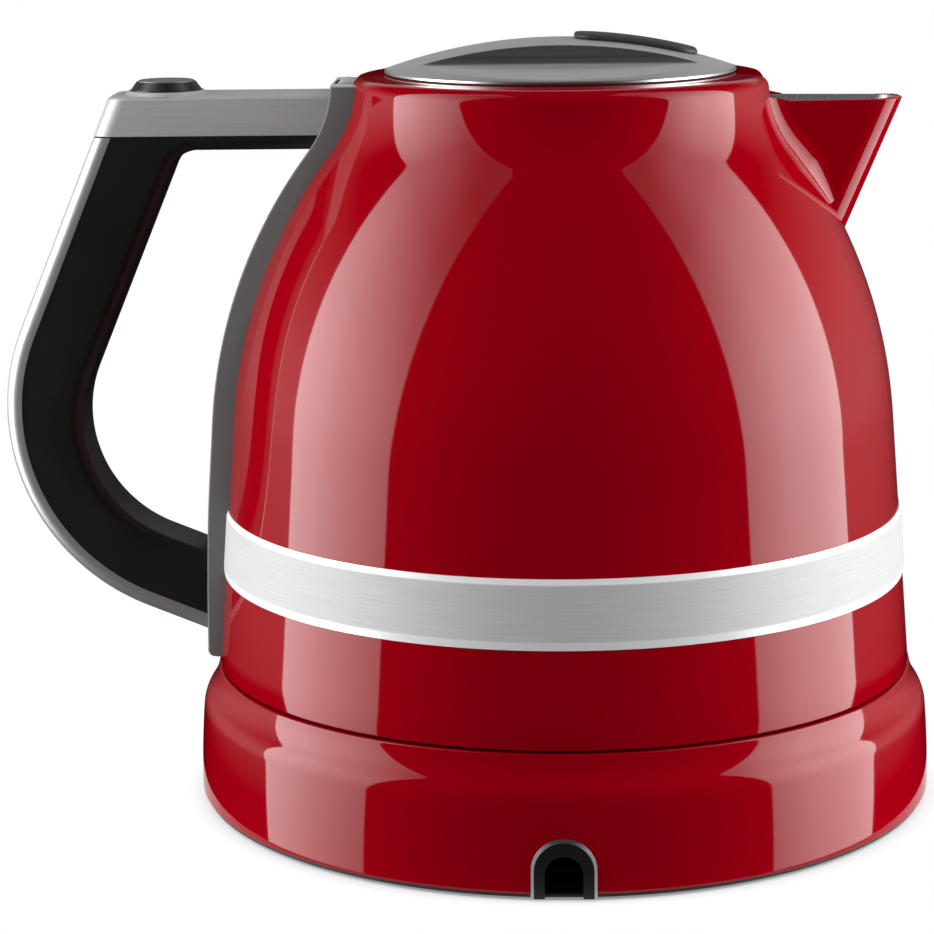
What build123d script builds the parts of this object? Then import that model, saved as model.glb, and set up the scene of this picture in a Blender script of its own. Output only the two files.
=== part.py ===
"""Electric kettle with a lift-off power base, built as separate pieces, in millimetres.

Frame: +Z up, +X towards the spout, -X towards the handle, origin on the axis at the table.
"""

import os
from math import atan2, cos, hypot, pi, radians, sin, sqrt

from build123d import *

os.makedirs("parts", exist_ok=True)

# Fits
moving_gap = 0.3
seat_gap = 0.1
pin_gap = 0.05
edge_break = 0.6

# How far a cut runs past the solid it cuts
past = 5.0
far_left = -200.0

# Power base
base_r = 107.5
base_taper = 0.5
base_round_z = 23.0
base_shoulder = 5.8
base_top_z = 38.9
base_wall = 2.0
foot_height = 0.9
foot_r = 8.0
foot_inset = 19.5
foot_count = 4
cover_flange = 1.0
cover_plate = 2.0
cover_edge_inset = 0.9
deck_drop = 1.4
deck_thickness = 2.0
base_screw_r = 1.5
base_screw_length = 18.0
screw_head_r = 3.0
screw_head_height = 1.8
screw_inset = 35.5
screw_count = 4
boss_r = 4.5

# Cord notch in the base, facing -Y
notch_half = 8.9
notch_top_z = 17.4
notch_wall = 3.8
notch_top_wall = 4.8
notch_depth = 14.0
notch_proud = 0.4
clamp_depth = 10.0
clamp_height = 16.0
clamp_gap = 2.5
cord_r = 4.0

# Connector between base and kettle
plug_r = 16.0
plug_height = 10.0
plug_flange_r = 24.0
plug_flange = 2.5
ring_wall = 4.0
ring_height = 5.2
cup_gap = 2.0
contact_radii = (11.0, 6.5)
contact_wall = 1.0
contact_groove = 2.4
contact_height = 3.5
centre_pin_r = 2.0
groove_depth = 9.0
blade_wall = 0.7
blade_length = 5.0
socket_thickness = 4.0

# Temperature slider and power button on the far side of the base
slider_z = 11.8
slider_rest_angle = 171.0
slider_sweep = 45.0
knob_half_angle = 2.6
knob_height = 10.0
knob_depth = 2.2
stem_height = 3.4
carriage_half_angle = 4.0
carriage_depth = 2.0
carriage_height = 8.0
track_wall = 2.0
track_height = 14.0
power_angle = 96.0
power_z = 13.0
power_r = 6.0
power_proud = 1.5
power_flange_r = 8.0
power_flange = 1.5
power_length = 10.0
power_travel = 2.0
switch_size = 14.0
board_length = 52.0
board_width = 34.0
board_thickness = 1.6
board_inset = 55.5
board_y = 38.0
board_z = 14.0
board_margin = 5.0

# Kettle body of revolution
foot_gap = 0.6
wall_draw = 5.2
wall_height = 68.5
dome_radius = 150.0
flare_radius = 20.0
neck_r = 58.5
neck_height = 5.314
shoulder_round = 4.5
lip_width = 9.1
mouth_rise = 0.9
collar_depth = 3.0
shell_wall = 1.5
vessel_inset = 4.5
vessel_wall = 1.0
vessel_floor_rise = 16.5
vessel_floor = 1.0

# Spout
spout_reach = 38.7
spout_drop = 7.2
spout_tip_r = 9.0
spout_root_inset = 8.5
spout_root_r = 13.0
spout_lean = 22.9
spout_length = 60.0
spout_wall = 1.2
liner_wall = 0.8

# Band round the body
band_rise = 27.6
band_height = 18.4
band_proud = 0.7
band_bevel = 0.5

# Underside of the kettle
bottom_thickness = 2.0
bottom_rim_height = 6.0
bottom_rim_wall = 2.0
plate_thickness = 3.0
plate_margin = 7.4
element_inset = 28.0
element_tube_r = 3.2
element_sweep = 330.0
sensor_r = 7.0
sensor_height = 5.0
sensor_x = 34.0

# Handle
spine_half = 13.0
spine_proud = 6.0
spine_foot_gap = 1.8
spine_drop = 1.6
spine_round = 1.2
spine_foot_round = 4.0
arm_half = 12.0
arm_drop = 4.5
arm_height = 11.1
rail_thickness = 4.3
handle_thickness = 25.0
strap_thickness = 3.2
handle_lean = 22.9
handle_foot_lean = 22.0
handle_bend_r = 63.0
handle_bend_inset = 3.2
handle_foot_rise = 8.09
grip_round = 4.0
arm_round = 1.0
arm_end_round = 3.0
window_round = 8.0
handle_screw_r = 1.8
handle_screw_length = 22.0
handle_screw_spread = 12.0
handle_head_r = 3.0
handle_head_height = 1.4
handle_head_gap = 0.6

# Lid button, release rod and their housing in the arm
button_setback = 15.59
button_skirt_r = 10.0
button_top_r = 7.7
button_skirt_rise = 1.5
button_rise = 4.1
button_cap_height = 0.7
button_travel = 3.0
bezel_width = 1.3
bezel_height = 0.8
pocket_depth = 4.7
spring_wall = 1.5
spring_r = 8.5
rod_half = 3.5
rod_rise = 2.1
rod_height = 4.0
rod_tail = 9.0
wedge_half = 2.2
wedge_rise = 1.4
wedge_width = 5.0
wedge_flat = 1.0

# Lid
lid_overlap = 0.6
lid_rise = 9.1
lid_wall = 1.2
ridge_half = 17.0
scoop_inset = 3.5
scoop_rise = 1.3
scoop_slope = 3.4
scoop_round = 2.5
pad_start_x = 4.0
pad_inset = 11.0
pad_half = 7.0
pad_proud = 1.7
lid_edge = 0.6
plug_gap = 1.6
plug_depth = 12.9
plug_wall = 2.0
seal_width = 1.0
seal_height = 1.3
hinge_setback = 2.5
hinge_drop = 3.8
pin_r = 1.5
pin_half = 12.0
knuckle_r = 2.9
knuckle_half = 4.5
lid_arm_half_height = 1.4
hinge_spring_r = 2.6
hinge_spring_length = 2.4

# Limescale filter
filter_half = 11.5
filter_thickness = 1.6
filter_border = 2.5
filter_depth = 22.0
filter_height = 20.0
mesh_thickness = 0.5
mesh_pitch = 2.6
mesh_hole = 1.7


# Outline of the body of revolution, and its offsets

base_waist_r = base_r - base_taper
base_top_r = base_waist_r - base_shoulder
kettle_foot_r = base_top_r
kettle_foot_z = base_top_z + foot_gap
dome_start_r = kettle_foot_r - wall_draw
dome_start_z = kettle_foot_z + wall_height
wall_length = hypot(dome_start_r - kettle_foot_r, dome_start_z - kettle_foot_z)
wall_normal = ((dome_start_z - kettle_foot_z) / wall_length, (kettle_foot_r - dome_start_r) / wall_length)
dome_centre = (dome_start_r - dome_radius * wall_normal[0], dome_start_z - dome_radius * wall_normal[1])
flare_rise = sqrt((dome_radius + flare_radius) ** 2 - (neck_r + flare_radius - dome_centre[0]) ** 2)
flare_centre = (neck_r + flare_radius, dome_centre[1] + flare_rise)


def wall_radius(z, inset=0.0):
    """Radius of the straight lower wall at a height, moved inwards by inset."""
    lean = (kettle_foot_r - dome_start_r) / (dome_start_z - kettle_foot_z)
    return kettle_foot_r - (z - kettle_foot_z) * lean - inset / wall_normal[0]


def on_circle(centre, radius, angle):
    return (centre[0] + radius * cos(angle), centre[1] + radius * sin(angle))


def body_points(inset, foot_height_z):
    """Points of the body's side from its foot to its neck, moved inwards by inset."""
    start = atan2(wall_normal[1], wall_normal[0])
    turn = atan2(flare_centre[1] - dome_centre[1], flare_centre[0] - dome_centre[0])
    dome = dome_radius - inset
    flare = flare_radius + inset
    return [
        (wall_radius(foot_height_z, inset), foot_height_z),
        on_circle(dome_centre, dome, start),
        on_circle(dome_centre, dome, (start + turn) / 2),
        on_circle(dome_centre, dome, turn),
        on_circle(flare_centre, flare, (turn + pi + pi) / 2),
        on_circle(flare_centre, flare, pi),
    ]


def body_side(inset, foot_height_z):
    """Adds the body's side to the current line and returns its first and last points."""
    foot, dome_a, dome_m, dome_b, flare_m, neck = body_points(inset, foot_height_z)
    Line(foot, dome_a)
    ThreePointArc(dome_a, dome_m, dome_b)
    ThreePointArc(dome_b, flare_m, neck)
    return foot, neck


def body_radius(z, inset=0.0):
    """Radius of the body's side at a height, moved inwards by inset."""
    points = body_points(inset, kettle_foot_z)
    if z <= points[1][1]:
        return wall_radius(z, inset)
    if z <= points[3][1]:
        return dome_centre[0] + sqrt((dome_radius - inset) ** 2 - (z - dome_centre[1]) ** 2)
    if z <= points[5][1]:
        return flare_centre[0] - sqrt((flare_radius + inset) ** 2 - (z - flare_centre[1]) ** 2)
    return neck_r - inset


def solid_body(inset, bottom_z, top_z):
    """A full solid inside the body's side, from one height to another."""
    with BuildPart() as body:
        with BuildSketch(Plane.XZ):
            with BuildLine():
                foot, neck = body_side(inset, bottom_z)
                Polyline(neck, (neck[0], top_z), (0, top_z), (0, bottom_z), foot)
            make_face()
        revolve(axis=Axis.Z)
    return body.part


def ring(inner, outer, bottom_z, top_z):
    """A ring about the axis, or a disc where inner is zero."""
    with BuildPart() as body:
        with BuildSketch(Plane.XZ):
            with BuildLine():
                Polyline((inner, bottom_z), (outer, bottom_z), (outer, top_z), (inner, top_z), close=True)
            make_face()
        revolve(axis=Axis.Z)
    return body.part


def arc_block(inner, outer, bottom_z, top_z, start_angle, end_angle):
    """A block that follows the base's side between two angles."""
    with BuildPart() as block:
        with BuildSketch(Plane.XZ.rotated((0, 0, start_angle))):
            with BuildLine():
                Polyline((inner, bottom_z), (outer, bottom_z), (outer, top_z), (inner, top_z), close=True)
            make_face()
        revolve(axis=Axis.Z, revolution_arc=end_angle - start_angle)
    return block.part


def slice_of(whole, bottom_z, top_z):
    """The part of a solid about the axis that lies between two heights."""
    with BuildPart() as piece:
        add(whole)
        add(ring(0, 2 * base_r, bottom_z, top_z), mode=Mode.INTERSECT)
    return piece.part


def spout_prism(inset, height):
    """A leaning prism of the spout's plan, from the rim height down into the body."""
    rise = height - spout_rim_z
    shift = rise * sin(radians(spout_lean)) / cos(radians(spout_lean))
    with BuildPart() as prism:
        with BuildSketch(Plane.XY.offset(height)):
            with Locations((spout_tip_x - spout_tip_r + shift, 0)):
                Circle(spout_tip_r - inset)
            with Locations((spout_root_x + shift, 0)):
                Circle(spout_root_r - inset)
            make_hull()
        extrude(amount=spout_length, dir=(-sin(radians(spout_lean)), 0, -cos(radians(spout_lean))))
    return prism.part


def write(piece, name):
    piece.label = name
    export_step(piece, f"parts/{name}.step")


# Places and levels that follow from the sizes

foot_circle_r = base_r - foot_inset
screw_circle_r = base_r - screw_inset
board_x = board_inset - base_r
shoulder_z = flare_centre[1] + neck_height
mouth_r = neck_r - lip_width
mouth_z = shoulder_z + mouth_rise
vessel_floor_z = kettle_foot_z + vessel_floor_rise
plate_r = wall_radius(vessel_floor_z, vessel_inset) - plate_margin
element_ring_r = plate_r - element_inset
spout_tip_x = neck_r + spout_reach
spout_root_x = neck_r - spout_root_inset
spout_rim_z = shoulder_z - spout_drop
band_bottom_z = kettle_foot_z + band_rise
band_top_z = band_bottom_z + band_height
shell_seam_z = band_bottom_z + band_height / 2
spine_bottom_z = kettle_foot_z + spine_foot_gap
spine_top_z = shoulder_z - spine_drop
arm_top_z = shoulder_z - arm_drop
arm_bottom_z = arm_top_z - arm_height
bend_in = radians(180.0 - handle_lean)
bend_out = radians(270.0 - handle_foot_lean)
bend_mid = (bend_in + bend_out) / 2
lean_step = sin(radians(handle_lean)) / cos(radians(handle_lean))
foot_step = sin(radians(handle_foot_lean)) / cos(radians(handle_foot_lean))
handle_foot_x = -wall_radius(spine_bottom_z)
bend_x = handle_bend_inset - kettle_foot_r
bend_end_drop = (handle_foot_x - bend_x - handle_bend_r * cos(bend_out)) * foot_step
bend_z = kettle_foot_z + handle_foot_rise - handle_bend_r * sin(bend_out) + bend_end_drop
bend_centre = (bend_x, bend_z)
arm_end = on_circle(bend_centre, handle_bend_r, bend_in)
arm_end_bottom_x = arm_end[0] + (arm_bottom_z - arm_end[1]) * lean_step
arm_end_top_x = arm_end[0] + (arm_top_z - arm_end[1]) * lean_step
button_x = arm_end_top_x + button_setback
handle_middle = (strap_thickness + handle_thickness) / 2
handle_screw_z = kettle_foot_z + handle_foot_rise + handle_middle / cos(radians(handle_foot_lean))
button_skirt_top_z = arm_top_z + button_skirt_rise
button_cap_z = arm_top_z + button_rise
pocket_floor_z = arm_top_z - pocket_depth
rod_bottom_z = arm_bottom_z + rod_rise
rod_top_z = rod_bottom_z + rod_height
wedge_tip_z = rod_bottom_z + wedge_rise
lid_r = mouth_r + lid_overlap
lid_rim_z = mouth_z + moving_gap
lid_crown_z = lid_rim_z + lid_rise
scoop_edge_y = lid_r - scoop_inset
scoop_edge_z = lid_rim_z + scoop_rise
pad_end_x = lid_r - pad_inset
plug_side_r = mouth_r - plug_gap
plug_floor_z = mouth_z - plug_depth
hinge_x = -neck_r - hinge_setback
hinge_z = shoulder_z - hinge_drop
filter_top_z = shoulder_z - filter_depth
cover_top_z = foot_height + cover_flange
plate_top_z = cover_top_z + cover_plate
deck_top_z = base_top_z - deck_drop
deck_bottom_z = deck_top_z - deck_thickness
plug_top_z = deck_top_z + plug_height
kettle_under_z = deck_top_z + moving_gap
kettle_floor_z = kettle_under_z + bottom_thickness
ring_r = plug_r + pin_gap + ring_wall
cup_r = ring_r + cup_gap
socket_z = plug_top_z + moving_gap
plate_z = vessel_floor_z - seat_gap - plate_thickness
collar_under_z = mouth_z - collar_depth
vessel_top_z = collar_under_z - seat_gap
base_arc_r = ((base_waist_r - base_top_r) ** 2 + (base_top_z - base_round_z) ** 2) / (
    2 * (base_waist_r - base_top_r)
)
base_arc_centre = (base_waist_r - base_arc_r, base_round_z)


def base_radius(z, inset=0.0):
    """Radius of the base's side at a height, moved inwards by inset."""
    if z <= base_round_z:
        lean = (base_r - base_waist_r) / (base_round_z - cover_top_z)
        return base_r - (z - cover_top_z) * lean - inset
    return base_arc_centre[0] + sqrt((base_arc_r - inset) ** 2 - (z - base_round_z) ** 2)


def base_side(inset):
    """Adds the base's side to the current line and returns its lowest and highest points."""
    low = (base_radius(cover_top_z, inset), cover_top_z)
    waist = (base_waist_r - inset, base_round_z)
    top = (base_radius(base_top_z, inset), base_top_z)
    middle_z = (base_round_z + base_top_z) / 2
    Line(low, waist)
    ThreePointArc(waist, (base_radius(middle_z, inset), middle_z), top)
    return low, top


def arch_prism(half, top_z, depth, front_y):
    """The cord notch's arch, from the table up, running inwards from front_y."""
    with BuildPart() as arch:
        with BuildSketch(Plane.XZ.offset(-front_y)):
            with BuildLine():
                Polyline((-half, top_z - half), (-half, 0), (half, 0), (half, top_z - half))
                ThreePointArc((half, top_z - half), (0, top_z), (-half, top_z - half))
            make_face()
        extrude(amount=-depth)
    return arch.part


def radial_cylinder(radius, start_r, end_r):
    """A cylinder that points outwards at the power button's angle and height."""
    outwards = Vector(cos(radians(power_angle)), sin(radians(power_angle)), 0)
    with BuildPart() as cylinder:
        with BuildSketch(Plane(outwards * start_r + Vector(0, 0, power_z), z_dir=outwards)):
            Circle(radius)
        extrude(amount=end_r - start_r)
    return cylinder.part


# Power base

slider_inner_r = base_radius(slider_z, base_wall)
slider_outer_r = base_radius(slider_z)
slot_half = stem_height / 2 + moving_gap * 2
slot_margin = 2.5
notch_front_y = -base_r - past

with BuildPart() as base_shell:
    with BuildSketch(Plane.XZ):
        with BuildLine():
            outer_low, outer_top = base_side(0.0)
            inner_low, inner_top = base_side(base_wall)
            Line(outer_top, inner_top)
            Line(outer_low, inner_low)
        make_face()
    revolve(axis=Axis.Z)
    add(arch_prism(notch_half, notch_top_z, notch_depth + 2 * past, notch_front_y), mode=Mode.SUBTRACT)
    add(
        arc_block(
            slider_inner_r - past,
            base_r + past,
            slider_z - slot_half,
            slider_z + slot_half,
            slider_rest_angle - slider_sweep - knob_half_angle - slot_margin,
            slider_rest_angle + knob_half_angle + slot_margin,
        ),
        mode=Mode.SUBTRACT,
    )
    add(radial_cylinder(power_r + moving_gap, base_r - 4 * past, base_r + past), mode=Mode.SUBTRACT)
write(base_shell.part, "base_shell")

with BuildPart() as base_deck:
    add(ring(plug_r + seat_gap, base_radius(deck_top_z, base_wall) - seat_gap, deck_bottom_z, deck_top_z))
write(base_deck.part, "base_deck")

cover_r = base_radius(cover_top_z, base_wall) - seat_gap
with BuildPart() as base_cover:
    with BuildSketch(Plane.XY.offset(foot_height)):
        Circle(base_r - cover_edge_inset)
    extrude(amount=cover_flange)
    with BuildSketch(Plane.XY.offset(cover_top_z)):
        Circle(cover_r)
    extrude(amount=cover_plate)
    with BuildSketch(Plane.XY.offset(plate_top_z)):
        with PolarLocations(screw_circle_r, screw_count):
            Circle(boss_r)
    extrude(amount=deck_bottom_z - seat_gap - plate_top_z)
    with BuildSketch(Plane.XY.offset(plate_top_z)):
        with Locations((board_x, board_y)):
            with GridLocations(board_length - 2 * board_margin, board_width - 2 * board_margin, 2, 2):
                Circle(boss_r / 2)
    extrude(amount=board_z - seat_gap - plate_top_z)
    with BuildSketch(Plane.XY.offset(foot_height)):
        with PolarLocations(screw_circle_r, screw_count):
            Circle(base_screw_r + seat_gap)
    extrude(amount=base_screw_length + 2 * screw_head_height, mode=Mode.SUBTRACT)
    with BuildSketch(Plane.XY.offset(foot_height)):
        with PolarLocations(screw_circle_r, screw_count):
            Circle(screw_head_r + seat_gap)
    extrude(amount=screw_head_height + 2 * seat_gap, mode=Mode.SUBTRACT)
    notch_reach = past + notch_depth + clamp_gap
    add(arch_prism(notch_half, notch_top_z, notch_reach, notch_front_y), mode=Mode.SUBTRACT)
write(base_cover.part, "base_cover")

with BuildPart() as base_screws:
    with BuildSketch(Plane.XY.offset(foot_height + seat_gap)):
        with PolarLocations(screw_circle_r, screw_count):
            Circle(screw_head_r)
    extrude(amount=screw_head_height)
    with BuildSketch(Plane.XY.offset(foot_height + seat_gap)):
        with PolarLocations(screw_circle_r, screw_count):
            Circle(base_screw_r)
    extrude(amount=base_screw_length)
write(base_screws.part, "base_screws")

with BuildPart() as feet:
    with BuildSketch():
        with PolarLocations(foot_circle_r, foot_count, start_angle=45):
            Circle(foot_r)
    extrude(amount=foot_height)
    chamfer(feet.edges().group_by(Axis.Z)[0], foot_height / 3)
write(feet.part, "feet")

with BuildPart() as cord_bezel:
    add(arch_prism(notch_half - seat_gap, notch_top_z - seat_gap, notch_depth, -base_r - notch_proud))
    opening_top_z = notch_top_z - notch_top_wall
    add(
        arch_prism(notch_half - notch_wall, opening_top_z, notch_depth + 2 * past, notch_front_y),
        mode=Mode.SUBTRACT,
    )
    with BuildSketch():
        Rectangle(3 * base_r, 3 * base_r)
    extrude(amount=foot_height, mode=Mode.SUBTRACT)
write(cord_bezel.part, "cord_bezel")

clamp_y = -base_r + notch_depth + clamp_gap + clamp_depth / 2
with BuildPart() as cord_clamp:
    with BuildSketch(Plane.XY.offset(plate_top_z)):
        with Locations((0, clamp_y)):
            Rectangle(2 * notch_half, clamp_depth)
    extrude(amount=clamp_height)
    with BuildSketch(Plane.XZ.offset(-clamp_y)):
        with Locations((0, plate_top_z + clamp_height / 2)):
            Circle(cord_r)
    extrude(amount=clamp_depth, both=True, mode=Mode.SUBTRACT)
write(cord_clamp.part, "cord_clamp")

with BuildPart() as coupler_plug:
    add(ring(0, plug_flange_r, deck_bottom_z - seat_gap - plug_flange, deck_bottom_z - seat_gap))
    add(ring(0, plug_r, deck_bottom_z - seat_gap, plug_top_z))
    with BuildSketch(Plane.XY.offset(plug_top_z - groove_depth)):
        for radius in contact_radii:
            Circle(radius + contact_groove / 2)
            Circle(radius - contact_groove / 2, mode=Mode.SUBTRACT)
        Circle(centre_pin_r + contact_groove / 2)
    extrude(amount=groove_depth, mode=Mode.SUBTRACT)
    chamfer(coupler_plug.edges().group_by(Axis.Z)[-1].sort_by(SortBy.LENGTH)[-1:], edge_break)
write(coupler_plug.part, "coupler_plug")

with BuildPart() as coupler_contacts:
    with BuildSketch(Plane.XY.offset(plug_top_z - groove_depth)):
        for radius in contact_radii:
            Circle(radius + contact_wall / 2)
            Circle(radius - contact_wall / 2, mode=Mode.SUBTRACT)
        Circle(centre_pin_r)
    extrude(amount=contact_height)
write(coupler_contacts.part, "coupler_contacts")

with BuildPart() as control_board:
    with BuildSketch(Plane.XY.offset(board_z)):
        with Locations((board_x, board_y)):
            Rectangle(board_length, board_width)
    extrude(amount=board_thickness)
    with BuildSketch(Plane.XY.offset(board_z + board_thickness)):
        with Locations((board_x - board_length / 5, board_y), (board_x + board_length / 5, board_y)):
            Rectangle(board_length / 4, board_width / 2)
    extrude(amount=3 * board_thickness)
write(control_board.part, "control_board")

track_outer_r = slider_inner_r - moving_gap - carriage_depth - moving_gap
track_start = slider_rest_angle - slider_sweep - carriage_half_angle - slot_margin
track_end = slider_rest_angle + carriage_half_angle + slot_margin
groove_half = stem_height / 2
with BuildPart() as slider_track:
    add(
        arc_block(
            track_outer_r - track_wall,
            track_outer_r,
            plate_top_z,
            plate_top_z + track_height,
            track_start - slot_margin,
            track_end + slot_margin,
        )
    )
    add(
        arc_block(
            track_outer_r - track_wall - past,
            track_outer_r + past,
            slider_z - groove_half,
            slider_z + groove_half,
            track_start,
            track_end,
        ),
        mode=Mode.SUBTRACT,
    )
write(slider_track.part, "slider_track")

carriage_inner_r = track_outer_r + moving_gap
carriage_outer_r = carriage_inner_r + carriage_depth
knob_inner_r = slider_outer_r + moving_gap
with BuildPart() as slider_carriage:
    add(
        arc_block(
            carriage_inner_r,
            carriage_outer_r,
            slider_z - carriage_height / 2,
            slider_z + carriage_height / 2,
            slider_rest_angle - carriage_half_angle,
            slider_rest_angle + carriage_half_angle,
        )
    )
    add(
        arc_block(
            track_outer_r - track_wall / 2,
            knob_inner_r,
            slider_z - groove_half + moving_gap,
            slider_z + groove_half - moving_gap,
            slider_rest_angle - knob_half_angle / 2,
            slider_rest_angle + knob_half_angle / 2,
        )
    )
write(slider_carriage.part, "slider_carriage")

with BuildPart() as slider_knob:
    add(
        arc_block(
            knob_inner_r,
            knob_inner_r + knob_depth,
            slider_z - knob_height / 2,
            slider_z + knob_height / 2,
            slider_rest_angle - knob_half_angle,
            slider_rest_angle + knob_half_angle,
        )
    )
    fillet(slider_knob.edges().filter_by(Axis.Z).sort_by(lambda edge: hypot(*edge.center()))[2:], edge_break)
write(slider_knob.part, "slider_knob")

power_outer_r = base_radius(power_z) + power_proud
power_inner_r = base_radius(power_z, base_wall) - 2 * moving_gap
with BuildPart() as power_button:
    add(radial_cylinder(power_r, power_outer_r - power_length, power_outer_r))
    add(radial_cylinder(power_flange_r, power_inner_r - power_flange, power_inner_r))
    fillet(power_button.faces().sort_by(Axis.Y)[-1].edges(), edge_break)
write(power_button.part, "power_button")

switch_r = power_outer_r - power_length - power_travel - moving_gap
with BuildPart() as power_switch:
    with BuildSketch(Plane.XY.offset(plate_top_z).rotated((0, 0, power_angle))):
        with Locations((switch_r - switch_size / 2, 0)):
            Rectangle(switch_size, switch_size)
    extrude(amount=power_z - plate_top_z + switch_size / 2)
write(power_switch.part, "power_switch")

with BuildPart() as swivel_ring:
    add(ring(plug_r + pin_gap, ring_r, deck_top_z + moving_gap, deck_top_z + moving_gap + ring_height))
    chamfer(swivel_ring.edges().group_by(Axis.Z)[-1], edge_break)
write(swivel_ring.part, "swivel_ring")


# Kettle underside

with BuildPart() as kettle_bottom:
    add(ring(cup_r, base_radius(base_top_z, base_wall) - 2 * moving_gap, kettle_under_z, kettle_floor_z))
    add(ring(cup_r, cup_r + bottom_rim_wall, kettle_under_z, socket_z))
    rim_r = wall_radius(kettle_floor_z, shell_wall) - moving_gap
    with BuildSketch(Plane.XZ):
        with BuildLine():
            rim_top = kettle_floor_z + bottom_rim_height
            rim_top_r = wall_radius(rim_top, shell_wall) - moving_gap
            Polyline(
                (rim_r - bottom_rim_wall, kettle_floor_z - bottom_thickness / 4),
                (rim_r - bottom_rim_wall, rim_top),
                (rim_top_r, rim_top),
                (rim_r, kettle_floor_z),
                (base_radius(base_top_z, base_wall) - 2 * moving_gap, kettle_floor_z - bottom_thickness / 4),
                close=True,
            )
        make_face()
    revolve(axis=Axis.Z)
write(kettle_bottom.part, "kettle_bottom")

with BuildPart() as coupler_socket:
    add(ring(0, cup_r + bottom_rim_wall, socket_z, socket_z + socket_thickness))
    for radius in contact_radii:
        add(ring(radius - blade_wall / 2, radius + blade_wall / 2, socket_z - blade_length, socket_z))
    add(ring(0, centre_pin_r - blade_wall, socket_z - blade_length, socket_z))
write(coupler_socket.part, "coupler_socket")

with BuildPart() as heater_plate:
    add(ring(0, plate_r, plate_z, plate_z + plate_thickness))
write(heater_plate.part, "heater_plate")

with BuildPart() as heating_element:
    with BuildSketch(Plane.XZ):
        with Locations((element_ring_r, plate_z - seat_gap - element_tube_r)):
            Circle(element_tube_r)
    revolve(axis=Axis.Z, revolution_arc=element_sweep)
write(heating_element.part, "heating_element")

with BuildPart() as temperature_sensor:
    with BuildSketch(Plane.XY.offset(plate_z - seat_gap - sensor_height)):
        with Locations((sensor_x, 0)):
            Circle(sensor_r)
    extrude(amount=sensor_height)
write(temperature_sensor.part, "temperature_sensor")


# Shell, spout and inner vessel

screw_ys = (-handle_screw_spread / 2, handle_screw_spread / 2)
slot_half_y = knuckle_half + 2 * moving_gap


def x_cylinders(radius, start_x, end_x):
    """The handle screws' lines, from one X to another."""
    with BuildPart() as cylinders:
        with BuildSketch(Plane.YZ.offset(start_x)):
            with Locations(*[(y, handle_screw_z) for y in screw_ys]):
                Circle(radius)
        extrude(amount=end_x - start_x)
    return cylinders.part


def rod_passage(gap, start_x, end_x):
    """The way through which the release rod slides."""
    with BuildPart() as passage:
        with BuildSketch(Plane.YZ.offset(start_x)):
            with Locations((0, (rod_bottom_z + rod_top_z) / 2)):
                Rectangle(2 * (rod_half + gap), rod_top_z - rod_bottom_z + 2 * gap)
        extrude(amount=end_x - start_x)
    return passage.part


def hinge_slot(half):
    """The slot in the collar and spine that lets the lid's hinge arm swing up."""
    bottom_z = hinge_z - knuckle_r - moving_gap
    with BuildPart() as slot:
        with BuildSketch(Plane.XY.offset(bottom_z)):
            back_x = hinge_x - knuckle_r - moving_gap
            with Locations((back_x / 2, 0)):
                Rectangle(-back_x, 2 * half)
        extrude(amount=mouth_z - bottom_z + past)
    return slot.part


def y_cylinder(radius, start_y, end_y):
    """A cylinder on the lid's hinge line."""
    with BuildPart() as cylinder:
        with BuildSketch(Plane.XZ.offset(-start_y)):
            with Locations((hinge_x, hinge_z)):
                Circle(radius)
        extrude(amount=start_y - end_y)
    return cylinder.part


with BuildPart() as whole_shell:
    with BuildSketch(Plane.XZ):
        with BuildLine():
            foot, neck = body_side(0.0, kettle_foot_z)
            FilletPolyline(neck, (neck_r, shoulder_z), (mouth_r, mouth_z), radius=shoulder_round)
            Polyline((mouth_r, mouth_z), (0, mouth_z), (0, kettle_foot_z), foot)
        make_face()
    revolve(axis=Axis.Z)
    add(solid_body(shell_wall, kettle_foot_z, collar_under_z), mode=Mode.SUBTRACT)
    with BuildSketch(Plane.XY.offset(collar_under_z)):
        Circle(mouth_r)
    extrude(amount=collar_depth, mode=Mode.SUBTRACT)
    add(spout_prism(spout_wall, spout_rim_z), mode=Mode.SUBTRACT)
    add(rod_passage(2 * moving_gap, far_left, 0), mode=Mode.SUBTRACT)
    add(hinge_slot(slot_half_y), mode=Mode.SUBTRACT)
    add(x_cylinders(handle_screw_r + seat_gap, far_left, 0), mode=Mode.SUBTRACT)
write(slice_of(whole_shell.part, 0, shell_seam_z), "lower_shell")
write(slice_of(whole_shell.part, shell_seam_z + seat_gap, lid_crown_z), "outer_shell")

with BuildPart() as spout_shell:
    add(spout_prism(0.0, spout_rim_z))
    add(spout_prism(spout_wall, spout_rim_z), mode=Mode.SUBTRACT)
    add(solid_body(-seat_gap, kettle_foot_z, mouth_z), mode=Mode.SUBTRACT)
write(spout_shell.part, "spout_shell")

with BuildPart() as spout_liner:
    add(spout_prism(spout_wall + seat_gap, spout_rim_z))
    add(spout_prism(spout_wall + seat_gap + liner_wall, spout_rim_z), mode=Mode.SUBTRACT)
    add(solid_body(vessel_inset - seat_gap, vessel_floor_z, mouth_z), mode=Mode.SUBTRACT)
write(spout_liner.part, "spout_liner")

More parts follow.
